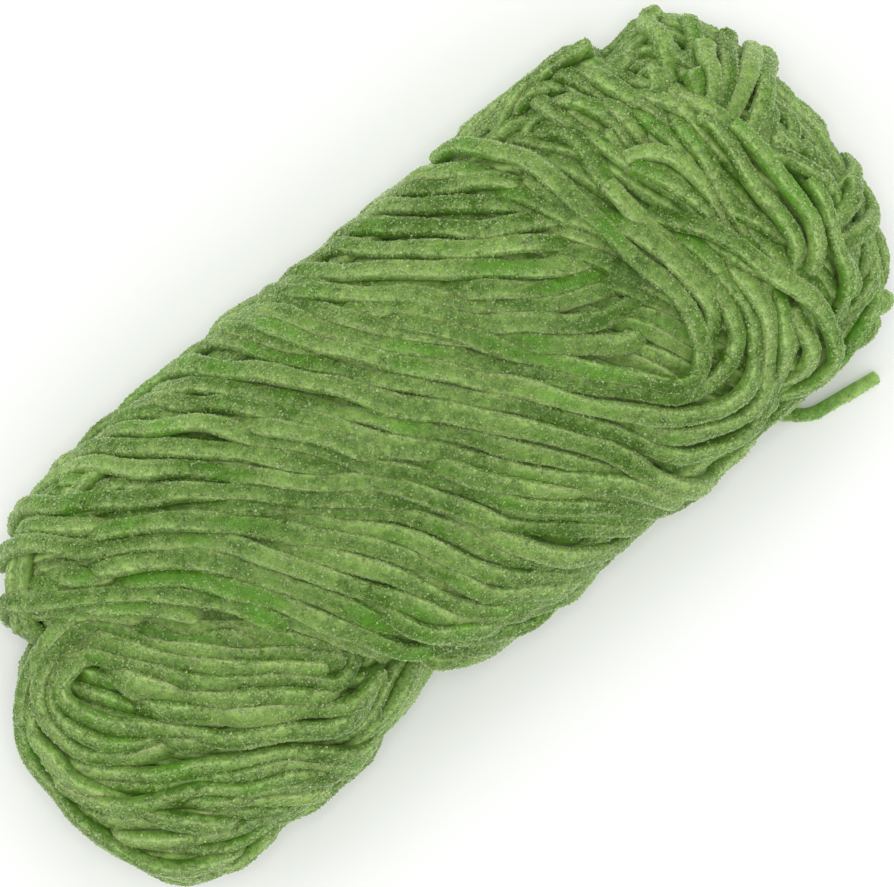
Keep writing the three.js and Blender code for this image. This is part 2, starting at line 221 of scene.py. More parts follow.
# Laces of the fan with both ends tucked in; the first crosses the others
TUCKED_LACES = [
    [(61, 9), (65.5, -3), (70.5, -17.5), (72, -26.5), (71, -30.5), (69, -33.5), (66, -35.5),
     (53.5, -37)],
    [(69.5, 34.5), (73, 36.5), (77, 36.5), (84, 36)],
    [(86.5, 38), (88.5, 35.5), (89, 33), (88.5, 29.5), (86, 23.5)],
    [(84.5, 37), (84, 33.5), (84, 27), (83, 24.5)],
    [(78, 35.5), (79.5, 33), (79, 30), (77, 26.5), (74.5, 24), (72, 23)],
    [(78, 26), (77.5, 22.5), (74.5, 15.5), (73.5, 11), (73, 1.5), (73, -12.5)],
    [(71.5, 38.5), (68, 32)],
    [(69, 29.5), (71.5, 32.5), (75, 35), (78, 35.5), (80.5, 35)],
    [(77, 32), (74.5, 29), (71.5, 26)],
    [(58.5, 40), (63, 34), (65.5, 29.5), (66.5, 25.5), (67.5, 17.5)],
    [(63, 36), (67, 29), (68.5, 25), (69.5, 20.5), (69.5, 17)],
    [(65.5, 30.5), (69, 28), (71.5, 24.5), (72.5, 20), (72, 11.5), (71, -2.5)],
    [(92.5, 11.5), (94, 8.5), (93.5, 4.5), (91, -3)],
    [(94.5, 11.5), (96.5, 7.5), (97, 3.5), (94.5, -8)],
    [(93.5, -1), (90, -11.5)],
    [(91.5, 8.5), (88.5, 1.5), (83.5, -3.5)],
    [(91.5, 1.5), (89, -1), (83, -5.5)],
    [(93.5, -18.5), (93, -22), (90.5, -26), (87, -29.5), (83, -32.5)],
    [(90, -25), (85, -29.5), (81.5, -31), (74.5, -33.5), (71, -34)],
    [(87.5, -21.5), (85, -25), (77.5, -30.5)],
    [(54.5, 36.5), (57.5, 29.5), (58, 26), (57.5, 19)],
    [(53.5, 15.5), (56.5, -0.5), (57.5, -10), (57, -15), (54, -19.5)],
    [(92.5, 14), (91.5, 10), (86.5, 2.5)],
    [(79.5, -36), (68.5, -36.5)],
    [(70, -24.5), (68.5, -28), (66, -32), (62.5, -34.5), (55.5, -36.5)],
    [(68, 37.5), (55.5, 41), (46.5, 41.5)],
    [(96, -10.5), (96, -15), (94.5, -18.5)],
    [(69, -11.5), (69, -16), (67.5, -20), (66, -23)],
    [(83, 6.5), (81.5, -2)],
    [(95.5, 4), (94, -3)],
    [(83.5, -22.5), (77, -27.5)],
    [(63.5, 40), (54, 41), (49.5, 41.5)],
    [(73, 35), (68.5, 33.5), (65.5, 31)],
    [(60, 43), (67.5, 35.5), (73, 27)],
]

# Laces that show between others, from just below them
FILLING_LACES = [
    [(-84.5, 29), (-89, 25.5), (-92.5, 20.5)],
    [(-75.5, 34), (-79, 31), (-81.5, 27)],
    [(-80, 35.5), (-83, 33), (-85, 29.5)],
    [(-80, 33.5), (-76, 29.5), (-69.5, 24.5), (-61.5, 18.5)],
    [(-81, 31), (-69.5, 21.5), (-61.5, 15)],
    [(-84.5, 25.5), (-76.5, 22.5), (-68.5, 15.5), (-59.5, 5.5), (-52.5, -5), (-47.5, -14.5)],
    [(-45, -17.5), (-42, -23.5), (-34, -33)],
    [(-44.5, -22), (-40.5, -28), (-35.5, -33)],
    [(-73, 40.5), (-66.5, 37), (-58, 32), (-50, 26)],
    [(-65.5, 45), (-59.5, 40), (-51.5, 33.5)],
    [(-62, 46), (-55.5, 41.5), (-48, 35)],
    [(-57.5, 46.5), (-50.5, 41), (-43, 34.5)],
    [(28.5, -27), (30.5, -32.5), (33.5, -36), (39.5, -38.5)],
    [(65, 37), (55.5, 40), (50.5, 40.5), (46.5, 40.5)],
    [(70, 39), (56.5, 42), (51.5, 42.5)],
    [(-38.5, -19.5), (-36, -35)],
    [(-41.5, -20.5), (-38, -29.5)],
    [(44.5, 36), (46.5, 30), (48, 20), (48.5, 12)],
]

# Laces along the near and the far side, under the ends of the wraps
NEAR_SIDE_ROUTE = [(-64, -39), (-44, -41), (-15, -42), (20, -42), (50, -41), (66, -39)]
FAR_SIDE_ROUTE = [(-74, 38), (-52, 44), (-20, 47), (14, 48), (46, 46), (62, 44)]
SIDE_HEIGHTS = [4.5, 8.2, 11.9, 15.6, 19.3, 23.0, 26.7, 30.4, 34.1, 37.8]

# Laces on top of the main wraps
OVER_LACES = [
    [(-34, -14), (-31, -20), (-25, -27), (-19, -32), (-12, -36)],
]

# Laces round the side of the cut-end half, at these heights
BELT_ROUTE = [(36, -40), (70, -39), (88, -31), (97, -10), (96, 12), (88, 32), (70, 43), (34, 46)]
BELT_HEIGHTS = [4.5, 8.2, 11.9, 15.6, 19.3, 23.0, 26.7, 30.4, 34.1]

# Laces across the underside, where no lace from the top reaches
UNDERSIDE_GUIDES = [
    [(-86, -34, 10), (-74, -22, 2), (-58, -4, 2), (-44, 10, 2)],
    [(-36, -39, 10), (-26, -24, 2), (-6, -4, 2), (8, 10, 2)],
    [(26, -39, 10), (36, -24, 2), (54, -4, 2), (70, 18, 2), (84, 36, 10)],
    [(80, -38, 10), (86, -24, 4), (92, -12, 8), (96, 0, 14)],
]
UNDERSIDES_BETWEEN = [9, 11, 10]
FAR_UNDERSIDE_GUIDES = [
    [(-30, -2, 2), (-14, 14, 2), (4, 32, 2), (16, 44, 10)],
    [(46, -2, 2), (58, 14, 2), (70, 32, 2), (78, 42, 10)],
]

# Laces that close the middle of the underside, at the left end, in the middle and at the right end
LEFT_FLOOR_GUIDES = [
    [(-92, -18, 8), (-88, -8, 2), (-78, 6, 2), (-68, 18, 2), (-62, 26, 3)],
    [(-88, -31, 9), (-76.5, -19.5, 2), (-60.5, -1.5, 2), (-46.5, 12.5, 2), (-36, 24, 2)],
]
MIDDLE_FLOOR_GUIDES = [
    [(-42, -2, 2), (-30, 10, 2), (-18, 24, 2)],
    [(-10, -4, 2), (2, 8, 2), (12, 22, 2)],
]
RIGHT_FLOOR_GUIDES = [
    [(38, -6, 2), (50, 8, 2), (62, 24, 2)],
    [(58, -14, 2), (68, 2, 2), (76, 18, 2)],
]

# Laces of the second layer, across the whole body
DEEP_GUIDES = [
    [(-100, 8), (-96, -8), (-86, -24), (-70, -36)],
    [(-92, 26), (-80, 14), (-66, -8), (-48, -34)],
    [(-78, 42), (-47, 26), (-20, -1), (0, -37)],
    [(-36, 47), (-6, 18), (14, -10), (32, -37)],
    [(4, 44), (30, 20), (46, -6), (60, -36)],
    [(46, 42), (62, 20), (70, -6), (76, -36)],
    [(80, 38), (90, 14), (94, -8), (88, -28)],
]
DEEP_BETWEEN = [8, 10, 9, 9, 7, 7]

# Dark grooves between laces that have drawn apart
GROOVES = [
    [(-12.5, 44), (-0.5, 38.5)],
    [(-8.5, 38.5), (-5, 33), (-1, 28)],
    [(-31.5, 46.5), (-21, 38.5), (-17, 34.5), (-5, 17.5)],
    [(-33, 42), (-25.5, 36.5), (-20, 30.5), (-14, 22.5), (-10.5, 17), (-8.5, 11.5)],
    [(-42.5, 41), (-34.5, 35), (-28.5, 30), (-24.5, 25), (-18, 14.5)],
    [(-14, 10), (-6.5, -1.5)],
    [(-2, -5.5), (2, -14.5), (4.5, -18)],
    [(-48, 34.5), (-35.5, 24.5), (-31.5, 20), (-27, 12.5)],
    [(-13, 0.5), (-8, -5), (-1.5, -19), (1.5, -23.5)],
    [(-69.5, 37), (-55.5, 29), (-46, 21.5)],
    [(-32, 10), (-27.5, 3.5), (-25, -2)],
    [(-19, -1), (-16.5, -5.5), (-15.5, -10.5), (-12.5, -16.5), (-7.5, -26)],
    [(-74.5, 29.5), (-65.5, 24.5), (-62.5, 23.5)],
    [(-67.5, 21), (-62, 18), (-56, 14.5)],
    [(-42, 3), (-33, -13), (-29.5, -18)],
    [(-51, 7.5), (-46.5, 2), (-39.5, -13)],
    [(-19.5, -23), (-16.5, -27.5), (-14, -31)],
    [(26, 36), (38.5, 25.5)],
    [(36, 18), (40, 15), (46, 13)],
    [(14, 35.5), (19, 30.5)],
    [(13.5, 30), (25, 19), (37.5, 9)],
    [(14, 23), (16, 19.5), (21, 14), (37.5, -0.5)],
    [(6.5, 15.5), (9.5, 11)],
    [(21.5, 2.5), (30.5, -8.5), (36.5, -14), (41.5, -17.5)],
    [(28.5, -12.5), (41, -24.5), (44.5, -26), (47.5, -26.5)],
    [(23, -12), (30, -21.5), (39.5, -29), (44.5, -31), (49, -32), (53.5, -31)],
    [(21, -23), (25.5, -35)],
    [(5.5, -23), (9, -28.5)],
    [(28.5, -27), (30.5, -31.5), (33, -35)],
    [(-73, 13), (-68, 6)],
    [(-84.5, 19.5), (-76.5, 11.5)],
    [(-88, 15.5), (-84, 8)],
    [(-77.5, 9), (-74, 5.5), (-66, -4)],
    [(-57.5, -11), (-50.5, -16.5)],
    [(-69.5, -8), (-63, -14.5), (-52.5, -22.5)],
    [(-77, -9), (-74, -11.5), (-66.5, -16)],
    [(-92.5, 4), (-90.5, -0.5), (-86.5, -5), (-81.5, -8.5)],
    [(-83.5, -12.5), (-67, -22.5), (-53, -33.5), (-46.5, -38)],
    [(-97, -2), (-94.5, -5.5)],
    [(-90.5, -19.5), (-75.5, -27.5)],
    [(75.5, 14.5), (74, 4.5), (74.5, -1.5)],
    [(80, 9), (80.5, -3.5), (79.5, -11), (78, -16)],
    [(83, -15), (81, -20), (78.5, -24), (75.5, -27)],
    [(54.5, 4.5), (57, -11.5)],
    [(61.5, 12.5), (62.5, 9), (64.5, 5)],
    [(65, 14), (67.5, 10.5)],
    [(60, 21), (61.5, 19.5)],
    [(87, -4), (85, -6)],
    [(81, 27), (80, 24)],
    [(68, -17.5), (70.5, -22), (71.5, -26)],
    [(69, 33), (68, 30.5)],
]

# The loose end that lies on the table
LOOSE_END = [
    (40, -8, 1.5), (44, -16, 1.5), (50, -29, 1.5), (54, -38, 1.5), (57, -41, 1.5), (60, -43.5, 1.5),
    (66, -44.8, 1.5), (75, -46.3, 1.5),
]


# Properties


class LaceSizes(bpy.types.PropertyGroup):
    lace_thickness: bpy.props.FloatProperty(
        name="Lace thickness", description="Thickness of a lace with its sugar",
        default=3.8 * MM, unit="LENGTH",
    )
    loose_thickness: bpy.props.FloatProperty(
        name="Loose end thickness", description="Thickness of the thin loose end",
        default=2.9 * MM, unit="LENGTH",
    )
    lace_sides: bpy.props.IntProperty(
        name="Lace sides", description="Faces round a lace", default=12, min=6, max=24,
    )
    unevenness: bpy.props.FloatProperty(
        name="Unevenness", description="How much a lace wanders and swells",
        default=1.0, min=0.0, max=3.0, subtype="FACTOR",
    )
    grain_size: bpy.props.FloatProperty(
        name="Sugar grain size", description="Mean size of a sugar grain",
        default=0.47 * MM, unit="LENGTH",
    )
    grains_per_piece: bpy.props.IntProperty(
        name="Grains per piece", description="Sugar grains in each sugar piece",
        default=47000, min=1000, max=49000,
    )


class CandyColours(bpy.types.PropertyGroup):
    bare_green: bpy.props.FloatVectorProperty(
        name="Bare green", description="Gum where the sugar is thin",
        default=(0.048, 0.13, 0.0035), subtype="COLOR", size=3, min=0, max=1,
    )
    frosted_green: bpy.props.FloatVectorProperty(
        name="Frosted green", description="Gum seen through its sugar",
        default=(0.252, 0.41, 0.09), subtype="COLOR", size=3, min=0, max=1,
    )
    # Painted shade: a darker green for the hidden core, standing for the shade in the gaps between the laces
    painted_shade_green: bpy.props.FloatVectorProperty(
        name="Deep green", description="Laces inside the bundle",
        default=(0.03, 0.08, 0.004), subtype="COLOR", size=3, min=0, max=1,
    )
    clear_green: bpy.props.FloatVectorProperty(
        name="Clear green", description="Gum where the sugar has rubbed off",
        default=(0.085, 0.275, 0.006), subtype="COLOR", size=3, min=0, max=1,
    )
    # Clean pale grains, and also the painted sheen mixed into the laces' upper flanks
    pale_sugar_and_sheen: bpy.props.FloatVectorProperty(
        name="Pale sugar", description="Clean grains",
        default=(0.52, 0.72, 0.27), subtype="COLOR", size=3, min=0, max=1,
    )


class StageSettings(bpy.types.PropertyGroup):
    floor_colour: bpy.props.FloatVectorProperty(
        name="Floor colour", description="Plain pale floor",
        default=(0.90, 0.90, 0.90), subtype="COLOR", size=3, min=0, max=1,
    )
    view_width: bpy.props.FloatProperty(
        name="View width", description="Width of the view at the bundle's middle height",
        default=178.8 * MM, unit="LENGTH",
    )
    camera_height: bpy.props.FloatProperty(
        name="Camera height", description="Height of the camera over the bundle's middle",
        default=2.0, unit="LENGTH",
    )
    view_turn: bpy.props.FloatProperty(
        name="View turn", description="How far the camera is turned about its line of sight",
        default=math.radians(-40), subtype="ANGLE",
    )


# Form of the bundle


def smooth(value, low, high):
    t = np.clip((value - low) / (high - low), 0, 1)
    return t * t * (3 - 2 * t)


def midline_y(x):
    return MIDLINE_Y - LEFT_SWAY * smooth(-x, 74, 102)


def top_rise(x):
    return TOP_RISE - LOBE_DROP * smooth(-x, 45, 80) - LACE_RADIUS


def end_term(x):
    """How far x has run into either round end: 0 in the middle, 1 at the tips."""
    left = np.maximum(0, (LEFT_TIP + LEFT_CAP - x) / (LEFT_CAP - LACE_RADIUS))
    right = np.maximum(0, (x - RIGHT_TIP + RIGHT_CAP) / (RIGHT_CAP - LACE_RADIUS))
    return left ** LEFT_ROUNDNESS + right ** RIGHT_ROUNDNESS


def body_term(points):
    """Under 1 inside the surface that the laces' centrelines follow, 1 on it."""
    x, y, z = points.T
    across = np.abs(y - midline_y(x)) / (HALF_WIDTH - LACE_RADIUS)
    rise = np.where(z > MID_HEIGHT, top_rise(x), BOTTOM_DROP - LACE_RADIUS)
    up = np.abs(z - MID_HEIGHT) / rise
    return across ** SECTION_ROUNDNESS + up ** SECTION_ROUNDNESS + end_term(x)


def top_height(x, y):
    """Height of that surface over a point of the plan, or the middle height outside it."""
    across = np.abs(y - midline_y(x)) / (HALF_WIDTH - LACE_RADIUS)
    left = np.maximum(0, 1 - across ** SECTION_ROUNDNESS - end_term(x))
    return MID_HEIGHT + top_rise(x) * left ** (1 / SECTION_ROUNDNESS)


def cleft_depth(points):
    """How deep the cleft presses the surface in."""
    plan = points[:, None, :2]
    start = CLEFT_LINE[None, :-1]
    run = CLEFT_LINE[None, 1:] - start
    away = plan - start
    along = np.clip((away * run).sum(2) / (run ** 2).sum(2), 0, 1)
    distance = np.linalg.norm(away - along[..., None] * run, axis=2)
    nearest = distance.argmin(1)
    rows = np.arange(len(points))
    side = run[0, :, 0] * away[..., 1] - run[0, :, 1] * away[..., 0]
    on_lobe = side[rows, nearest] < 0
    deep = np.where(on_lobe, CLEFT_DEPTH, SHOULDER_DEPTH)
    reach = np.where(on_lobe, CLEFT_REACH, SHOULDER_REACH)
    return deep * np.exp(-((distance[rows, nearest] / reach) ** 2))


def edge_dent(points):
    """How far the edge beside the topmost cut ends is drawn in."""
    x, y = points[:, 0], points[:, 1]
    return EDGE_DENT * smooth(x, 70.5, 75) * (1 - smooth(x, 79, 85)) * smooth(y, 24, 40)


def outward(points):
    """From the body's middle line to each point: the middle points and the way out."""
    middle = np.empty_like(points)
    middle[:, 0] = np.clip(points[:, 0], LEFT_TIP + LEFT_CAP, RIGHT_TIP - RIGHT_CAP)
    middle[:, 1] = midline_y(middle[:, 0])
    middle[:, 2] = MID_HEIGHT
    return middle, points - middle


def settled(points, depth):
    """The points on the surface in the same direction from the middle, sunk by depth."""
    middle, reach = outward(points)
    inside = np.zeros(len(points))
    outside = np.full(len(points), 8.0)
    for _ in range(26):
        half = (inside + outside) / 2
        within = body_term(middle + reach * half[:, None]) < 1
        inside = np.where(within, half, inside)
        outside = np.where(within, outside, half)
    at = middle + reach * inside[:, None]
    cleft = cleft_depth(at) * smooth(at[:, 2], 4, MID_HEIGHT)
    way = reach / np.linalg.norm(reach, axis=1, keepdims=True)
    return at - way * (depth + cleft + edge_dent(at))[:, None]


# Lace centrelines


def route_points(route):
    flat = np.array([tuple(point[:2]) for point in route], float)
    heights = [point[2] if len(point) > 2 else top_height(*point[:2]) for point in route]
    return np.column_stack([flat, heights])


def spline(points, per_span=14):
    """A smooth curve through the points, whose knots stand a root of the chord apart."""
    padded = np.vstack([2 * points[0] - points[1], points, 2 * points[-1] - points[-2]])
    gaps = np.sqrt(np.maximum(np.linalg.norm(np.diff(padded, axis=0), axis=1), 1e-6))
    knots = np.concatenate([[0], np.cumsum(gaps)])
    spans = []
    for i in range(len(points) - 1):
        p0, p1, p2, p3 = padded[i:i + 4]
        t0, t1, t2, t3 = knots[i:i + 4]
        t = np.linspace(t1, t2, per_span, endpoint=False)[:, None]
        a1 = ((t1 - t) * p0 + (t - t0) * p1) / (t1 - t0)
        a2 = ((t2 - t) * p1 + (t - t1) * p2) / (t2 - t1)
        a3 = ((t3 - t) * p2 + (t - t2) * p3) / (t3 - t2)
        b1 = ((t2 - t) * a1 + (t - t0) * a2) / (t2 - t0)
        b2 = ((t3 - t) * a2 + (t - t1) * a3) / (t3 - t1)
        spans.append(((t2 - t) * b1 + (t - t1) * b2) / (t2 - t1))
    return np.vstack([*spans, points[-1:]])


def even_points(points, count):
    """A polyline's points spread evenly by length, and its length."""
    runs = np.linalg.norm(np.diff(points, axis=0), axis=1)
    places = np.concatenate([[0], np.cumsum(runs)])
    wanted = np.linspace(0, places[-1], count)
    spread = np.column_stack([np.interp(wanted, places, axis) for axis in points.T])
    return spread, places[-1]


def spread(route, count):
    return even_points(spline(route_points(route)), count)[0]


def between_routes(routes):
    """Halfway between each point of a route and the nearest point of the next one."""
    paths = []
    for first, second in zip(routes, routes[1:]):
        outer, inner = spread(first, 28), spread(second, 80)
        nearest = np.linalg.norm(outer[:, None] - inner[None], axis=2).argmin(1)
        paths.append((outer + inner[nearest]) / 2)
    return paths


class Lace:
    """A lace's route and how it lies."""

    def __init__(self, points, cut_start=False, cut_end=False, lift=0.0, sink=None):
        self.points = points
        self.cut_start = cut_start
        self.cut_end = cut_end
        self.lift = lift
        self.sink = np.zeros(len(points)) if sink is None else sink


def family(guides, between, points=32, before=None, after=None, late=0, **lies):
    """Laces on the guides and at even shares between them; crowded ones pass under."""
    spreads = [spread(guide, points) for guide in guides]
    laces = []
    for i, count in enumerate(between):
        gap = np.linalg.norm(spreads[i + 1] - spreads[i], axis=1) / count
        for j in range(count):
            path = spreads[i] + (spreads[i + 1] - spreads[i]) * (j / count)
            crowded = np.clip((LACE_PITCH - gap) * 1.7, 0, 3.4) if j % 2 else np.zeros(points)
            starts_late = j > 0 and i < late - 1
            skip = round(points * LATE_START) if starts_late else 0
            first = None if starts_late else before
            laces.append(extended(path[skip:], crowded[skip:], first, after, **lies))
    laces.append(extended(spreads[-1], np.zeros(points), before, after, **lies))
    return laces


def extended(path, crowded, before, after, **lies):
    """A lace with its run below the bundle added before and after its run on top."""
    first = before(path[0]) if before else np.empty((0, 3))
    last = after(path[-1]) if after else np.empty((0, 3))
    sink = np.concatenate([np.zeros(len(first)), crowded, np.zeros(len(last))])
    return Lace(np.vstack([first, path, last]), sink=sink, **lies)


def from_below(point):
    """Round the far edge from the underside; the folds at the left end come from the right."""
    x, y = point[:2]
    fold = float(smooth(-x, 67, 74))
    straight = np.array([[x - 34, y - 20, 2], [x - 26, y - 9, 3.5], [x - 17, y - 2, 9], [x - 8, y, 17]])
    folded = np.array([[x + 22, y - 24, 4], [x + 10, y - 13, 9], [x + 3.5, y - 8, 15], [x - 0.8, y - 4, 21]])
    return straight * (1 - fold) + folded * fold


def to_below(point):
    """Round the near edge to the underside."""
    x, y = point[:2]
    return np.array([[x + 8, y, 17], [x + 17, y + 2, 9], [x + 26, y + 9, 3.5], [x + 34, y + 20, 2]])


def waves(places, rng, lengths=(71.0, 37.0, 19.0)):
    """Smooth seeded noise along a lace, mostly within -1 and 1."""
    total = np.zeros(len(places))
    for length in lengths:
        total += np.sin(places * (2 * np.pi / length) + rng.uniform(0, 2 * np.pi))
    return total / len(lengths) ** 0.5 / 1.2


def centreline(lace, rng, step, unevenness):
    """The lace's centreline over the body, with tucked ends and waves."""
    curve = spline(lace.points)
    sink = spline(np.column_stack([lace.sink, np.zeros((len(lace.sink), 2))]))[:, 0]
    _, length = even_points(curve, 2)
    count = max(6, round(length / step) + 1)
    both, _ = even_points(np.column_stack([curve, sink * 1e-3]), count)
    points = both[:, :3]
    places = np.linspace(0, length, count)
    depth = both[:, 3] * 1e3 - lace.lift + unevenness * (0.75 * waves(places, rng) + rng.normal(0, 0.45))
    if not lace.cut_start:
        depth += TUCK_DEPTH * (1 - smooth(places, 0, TUCK_LENGTH))
    if not lace.cut_end:
        depth += TUCK_DEPTH * (1 - smooth(length - places, 0, TUCK_LENGTH))
    way = outward(points)[1]
    ahead = np.gradient(points, axis=0)
    aside = np.cross(ahead, way)
    aside /= np.maximum(np.linalg.norm(aside, axis=1, keepdims=True), 1e-6)
    points = points + aside * (unevenness * 0.45 * waves(places, rng))[:, None]
    return settled(points, depth)


# Pressing the laces together


def near_pairs(points, reach):
    """Index pairs of points nearer than the reach, found by the cells of a grid."""
    cells = np.floor(points / reach).astype(np.int64)
    cells -= cells.min(0) - 1
    spans = cells.max(0) + 2
    steps = np.array([spans[1] * spans[2], spans[2], 1])
    keys = cells @ steps
    order = keys.argsort(kind="stable")
    ranked = keys[order]
    firsts, seconds = [], []
    for offset in np.ndindex(3, 3, 3):
        wanted = keys + (np.array(offset) - 1) @ steps
        start = ranked.searchsorted(wanted, "left")
        counts = ranked.searchsorted(wanted, "right") - start
        first = np.repeat(np.arange(len(points)), counts)
        within = np.arange(len(first)) - np.repeat(counts.cumsum() - counts, counts)
        second = order[np.repeat(start, counts) + within]
        keep = first < second
        firsts.append(first[keep])
        seconds.append(second[keep])
    first, second = np.concatenate(firsts), np.concatenate(seconds)
    near = np.linalg.norm(points[first] - points[second], axis=1) < reach
    return first[near], second[near]


def pressed(home, lace_ids, radii, weights, lowest):
    """Moves centreline points until no lace runs through another, each near its home."""
    points = home.copy()
    joined = lace_ids[1:] == lace_ids[:-1]
    inner = np.flatnonzero(joined[:-1] & joined[1:]) + 1
    for turn in range(PRESS_ROUNDS):
        if turn % 4 == 0:
            first, second = near_pairs(points, 5.0)
            apart = (lace_ids[first] != lace_ids[second]) | (np.abs(first - second) > 6)
            first, second = first[apart], second[apart]
            pair = np.abs(np.sin(lace_ids[first] * 12.9898 + lace_ids[second] * 78.233) * 43758.5)
            firmness = PRESSED_MOST + (PRESSED_LEAST - PRESSED_MOST) * (pair % 1)
            wanted = (radii[first] + radii[second]) * firmness
            share = (weights[second] / (weights[first] + weights[second]))[:, None]
        gap = points[first] - points[second]
        distance = np.maximum(np.linalg.norm(gap, axis=1), 0.05)
        push = gap * (np.clip(wanted - distance, 0, 1.2) / distance * 0.4)[:, None]
        moves = np.empty_like(points)
        for axis in range(3):
            moves[:, axis] = np.bincount(first, (push * share)[:, axis], len(points))
            moves[:, axis] -= np.bincount(second, (push * (1 - share))[:, axis], len(points))
        shift = points + moves - home
        shift *= 1 - HOME_PULL
        shift[inner] = 0.4 * shift[inner] + 0.3 * (shift[inner - 1] + shift[inner + 1])
        fixed = weights > 100
        shift[fixed] = 0
        points = home + shift
        points[:, 2] = np.maximum(points[:, 2], lowest)
    return points


def groove_rods():
    """Unseen thin rods that hold the grooves open."""
    rods = []
    for route in GROOVES:
        curve = spline(route_points(route))
        points, _ = even_points(curve, max(6, round(even_points(curve, 2)[1] / 1.2)))
        rods.append(settled(points, np.full(len(points), 0.2)))
    return rods


@functools.lru_cache
def wound_laces():
    """All laces' centrelines, pressed together: for each piece, its (points, radius) pairs."""
    sizes = bpy.context.scene.lace_sizes
    radius = sizes.lace_thickness / MM / 2
    homes, radii, pressed_radii, weights, owners = [], [], [], [], []
    for seed, (piece, laces) in enumerate(all_laces().items(), 11):
        rng = np.random.default_rng(seed)
        for lace in laces:
            homes.append(centreline(lace, rng, 1.8, sizes.unevenness))
            radii.append(radius * rng.uniform(0.88, 1.08))
            pressed_radii.append(radii[-1] * PRESSED_HARDER.get(piece, 1.0))
            weights.append(DEEP_WEIGHT if piece == "deep_laces" else 1.0)
            owners.append(piece)
    for rod in groove_rods():
        homes.append(rod)
        radii.append(GROOVE_RADIUS)
        pressed_radii.append(GROOVE_RADIUS)
        weights.append(1000.0)
        owners.append("grooves")
    counts = [len(home) for home in homes]
    points = pressed(
        np.vstack(homes), np.repeat(np.arange(len(homes)), counts),
        np.repeat(pressed_radii, counts), np.repeat(weights, counts), 1.2 * np.repeat(radii, counts),
    )
    wound = {}
    for piece, own, lace in zip(owners, radii, np.split(points, np.cumsum(counts)[:-1])):
        wound.setdefault(piece, []).append((lace, own))
    return wound


def all_laces():
    """The laces of every piece."""
    wraps = family(WRAP_GUIDES, WRAPS_BETWEEN, before=from_below, after=to_below, late=FOLDED_GUIDES)
    wraps += [Lace(spread(route, 20), lift=1.3) for route in OVER_LACES]
    wraps += [Lace(spread(route, 16), lift=-1.5) for route in FILLING_LACES]
    bends = family(BEND_GUIDES, BENDS_BETWEEN, points=40, before=from_below)
    bends[-1].cut_end = True
    bends[-1].lift = 0.8
    bends += family(INNER_GUIDES, INNERS_BETWEEN, before=from_below)
    bends.append(Lace(spread(CROSSING_LACE, 40), cut_start=True, lift=2.2))
    ends = family(FAN_GUIDES, FANS_BETWEEN, lift=-1.5)
    ends.append(Lace(spread(TUCKED_LACES[0], 32), lift=2.6))
    ends += [Lace(spread(route, 16), lift=0.9) for route in TUCKED_LACES[1:]]
    ends += [Lace(spread(route, 16), cut_start=True, lift=2.0) for route in CUT_END_LACES]
    sides = [Lace(spread([(x, y, z) for x, y in BELT_ROUTE], 24), lift=-1.2 * (z > 32)) for z in BELT_HEIGHTS]
    for route in (NEAR_SIDE_ROUTE, FAR_SIDE_ROUTE):
        sides += [Lace(spread([(x, y, z) for x, y in route], 24), lift=-1.7) for z in SIDE_HEIGHTS]
    sides += family(UNDERSIDE_GUIDES, UNDERSIDES_BETWEEN, lift=-0.5)
    sides += family(FAR_UNDERSIDE_GUIDES, [13], lift=-0.5)
    sides += [Lace(spread([(x, y, z) for x, y in LOBE_ROUTE], 24), lift=-1.2 * (z > 24)) for z in LOBE_HEIGHTS]
    sides += [Lace(spread([(x, y, z) for x, y in FOLD_BACK_ROUTE], 18), lift=-1.5) for z in FOLD_BACK_HEIGHTS]
    for guides in (LEFT_FLOOR_GUIDES, MIDDLE_FLOOR_GUIDES, RIGHT_FLOOR_GUIDES):
        sides += family(guides, [6], lift=-0.5)
    lobe = [Lace(spread(route, 44), lift=0.3) for route in LOBE_LACES]
    between = between_routes(LOBE_LACES[:LOBE_LOOPS]) + between_routes(LOBE_LACES[LOBE_LOOPS:])
    lobe += [Lace(path, lift=-0.1) for path in [*between, spread(LOBE_INSIDE, 30)]]
    return {
        "deep_laces": family(DEEP_GUIDES, DEEP_BETWEEN, lift=-2.6),
        "wrap_laces": wraps,
        "bend_laces": bends,
        "lobe_laces": lobe,
        "cut_end_laces": ends,
        "side_laces": sides,
    }


# Lace meshes


class MeshParts:
    """Vertices, faces and what each vertex or corner carries, joined from many tubes."""

    def __init__(self):
        self.points, self.quads, self.lace, self.flank, self.uvs = [], [], [], [], []
        self.count = 0

    def add(self, points, quads, lace, flank, uvs):
        self.points.append(points)
        self.quads.append(quads + self.count)
        self.lace.append(np.full(len(points), lace))
        self.flank.append(flank)
        self.uvs.append(uvs)
        self.count += len(points)


def turned_frames(points):
    """Directions across, out of and along a curve at each point; across lies in the surface."""
    ahead = np.gradient(points, axis=0)
    ahead /= np.maximum(np.linalg.norm(ahead, axis=1, keepdims=True), 1e-9)
    across = np.cross(outward(points)[1], ahead)
    across /= np.maximum(np.linalg.norm(across, axis=1, keepdims=True), 1e-9)
    for _ in range(3):
        across[1:-1] = 0.5 * across[1:-1] + 0.25 * (across[:-2] + across[2:])
    across -= ahead * (across * ahead).sum(1, keepdims=True)
    across /= np.maximum(np.linalg.norm(across, axis=1, keepdims=True), 1e-9)
    return across, np.cross(ahead, across), ahead


# Rings that close a lace's end: how far past the end, and how wide
END_RINGS = [(0.0, 1.0), (0.22, 0.93), (0.4, 0.7), (0.45, 0.03)]


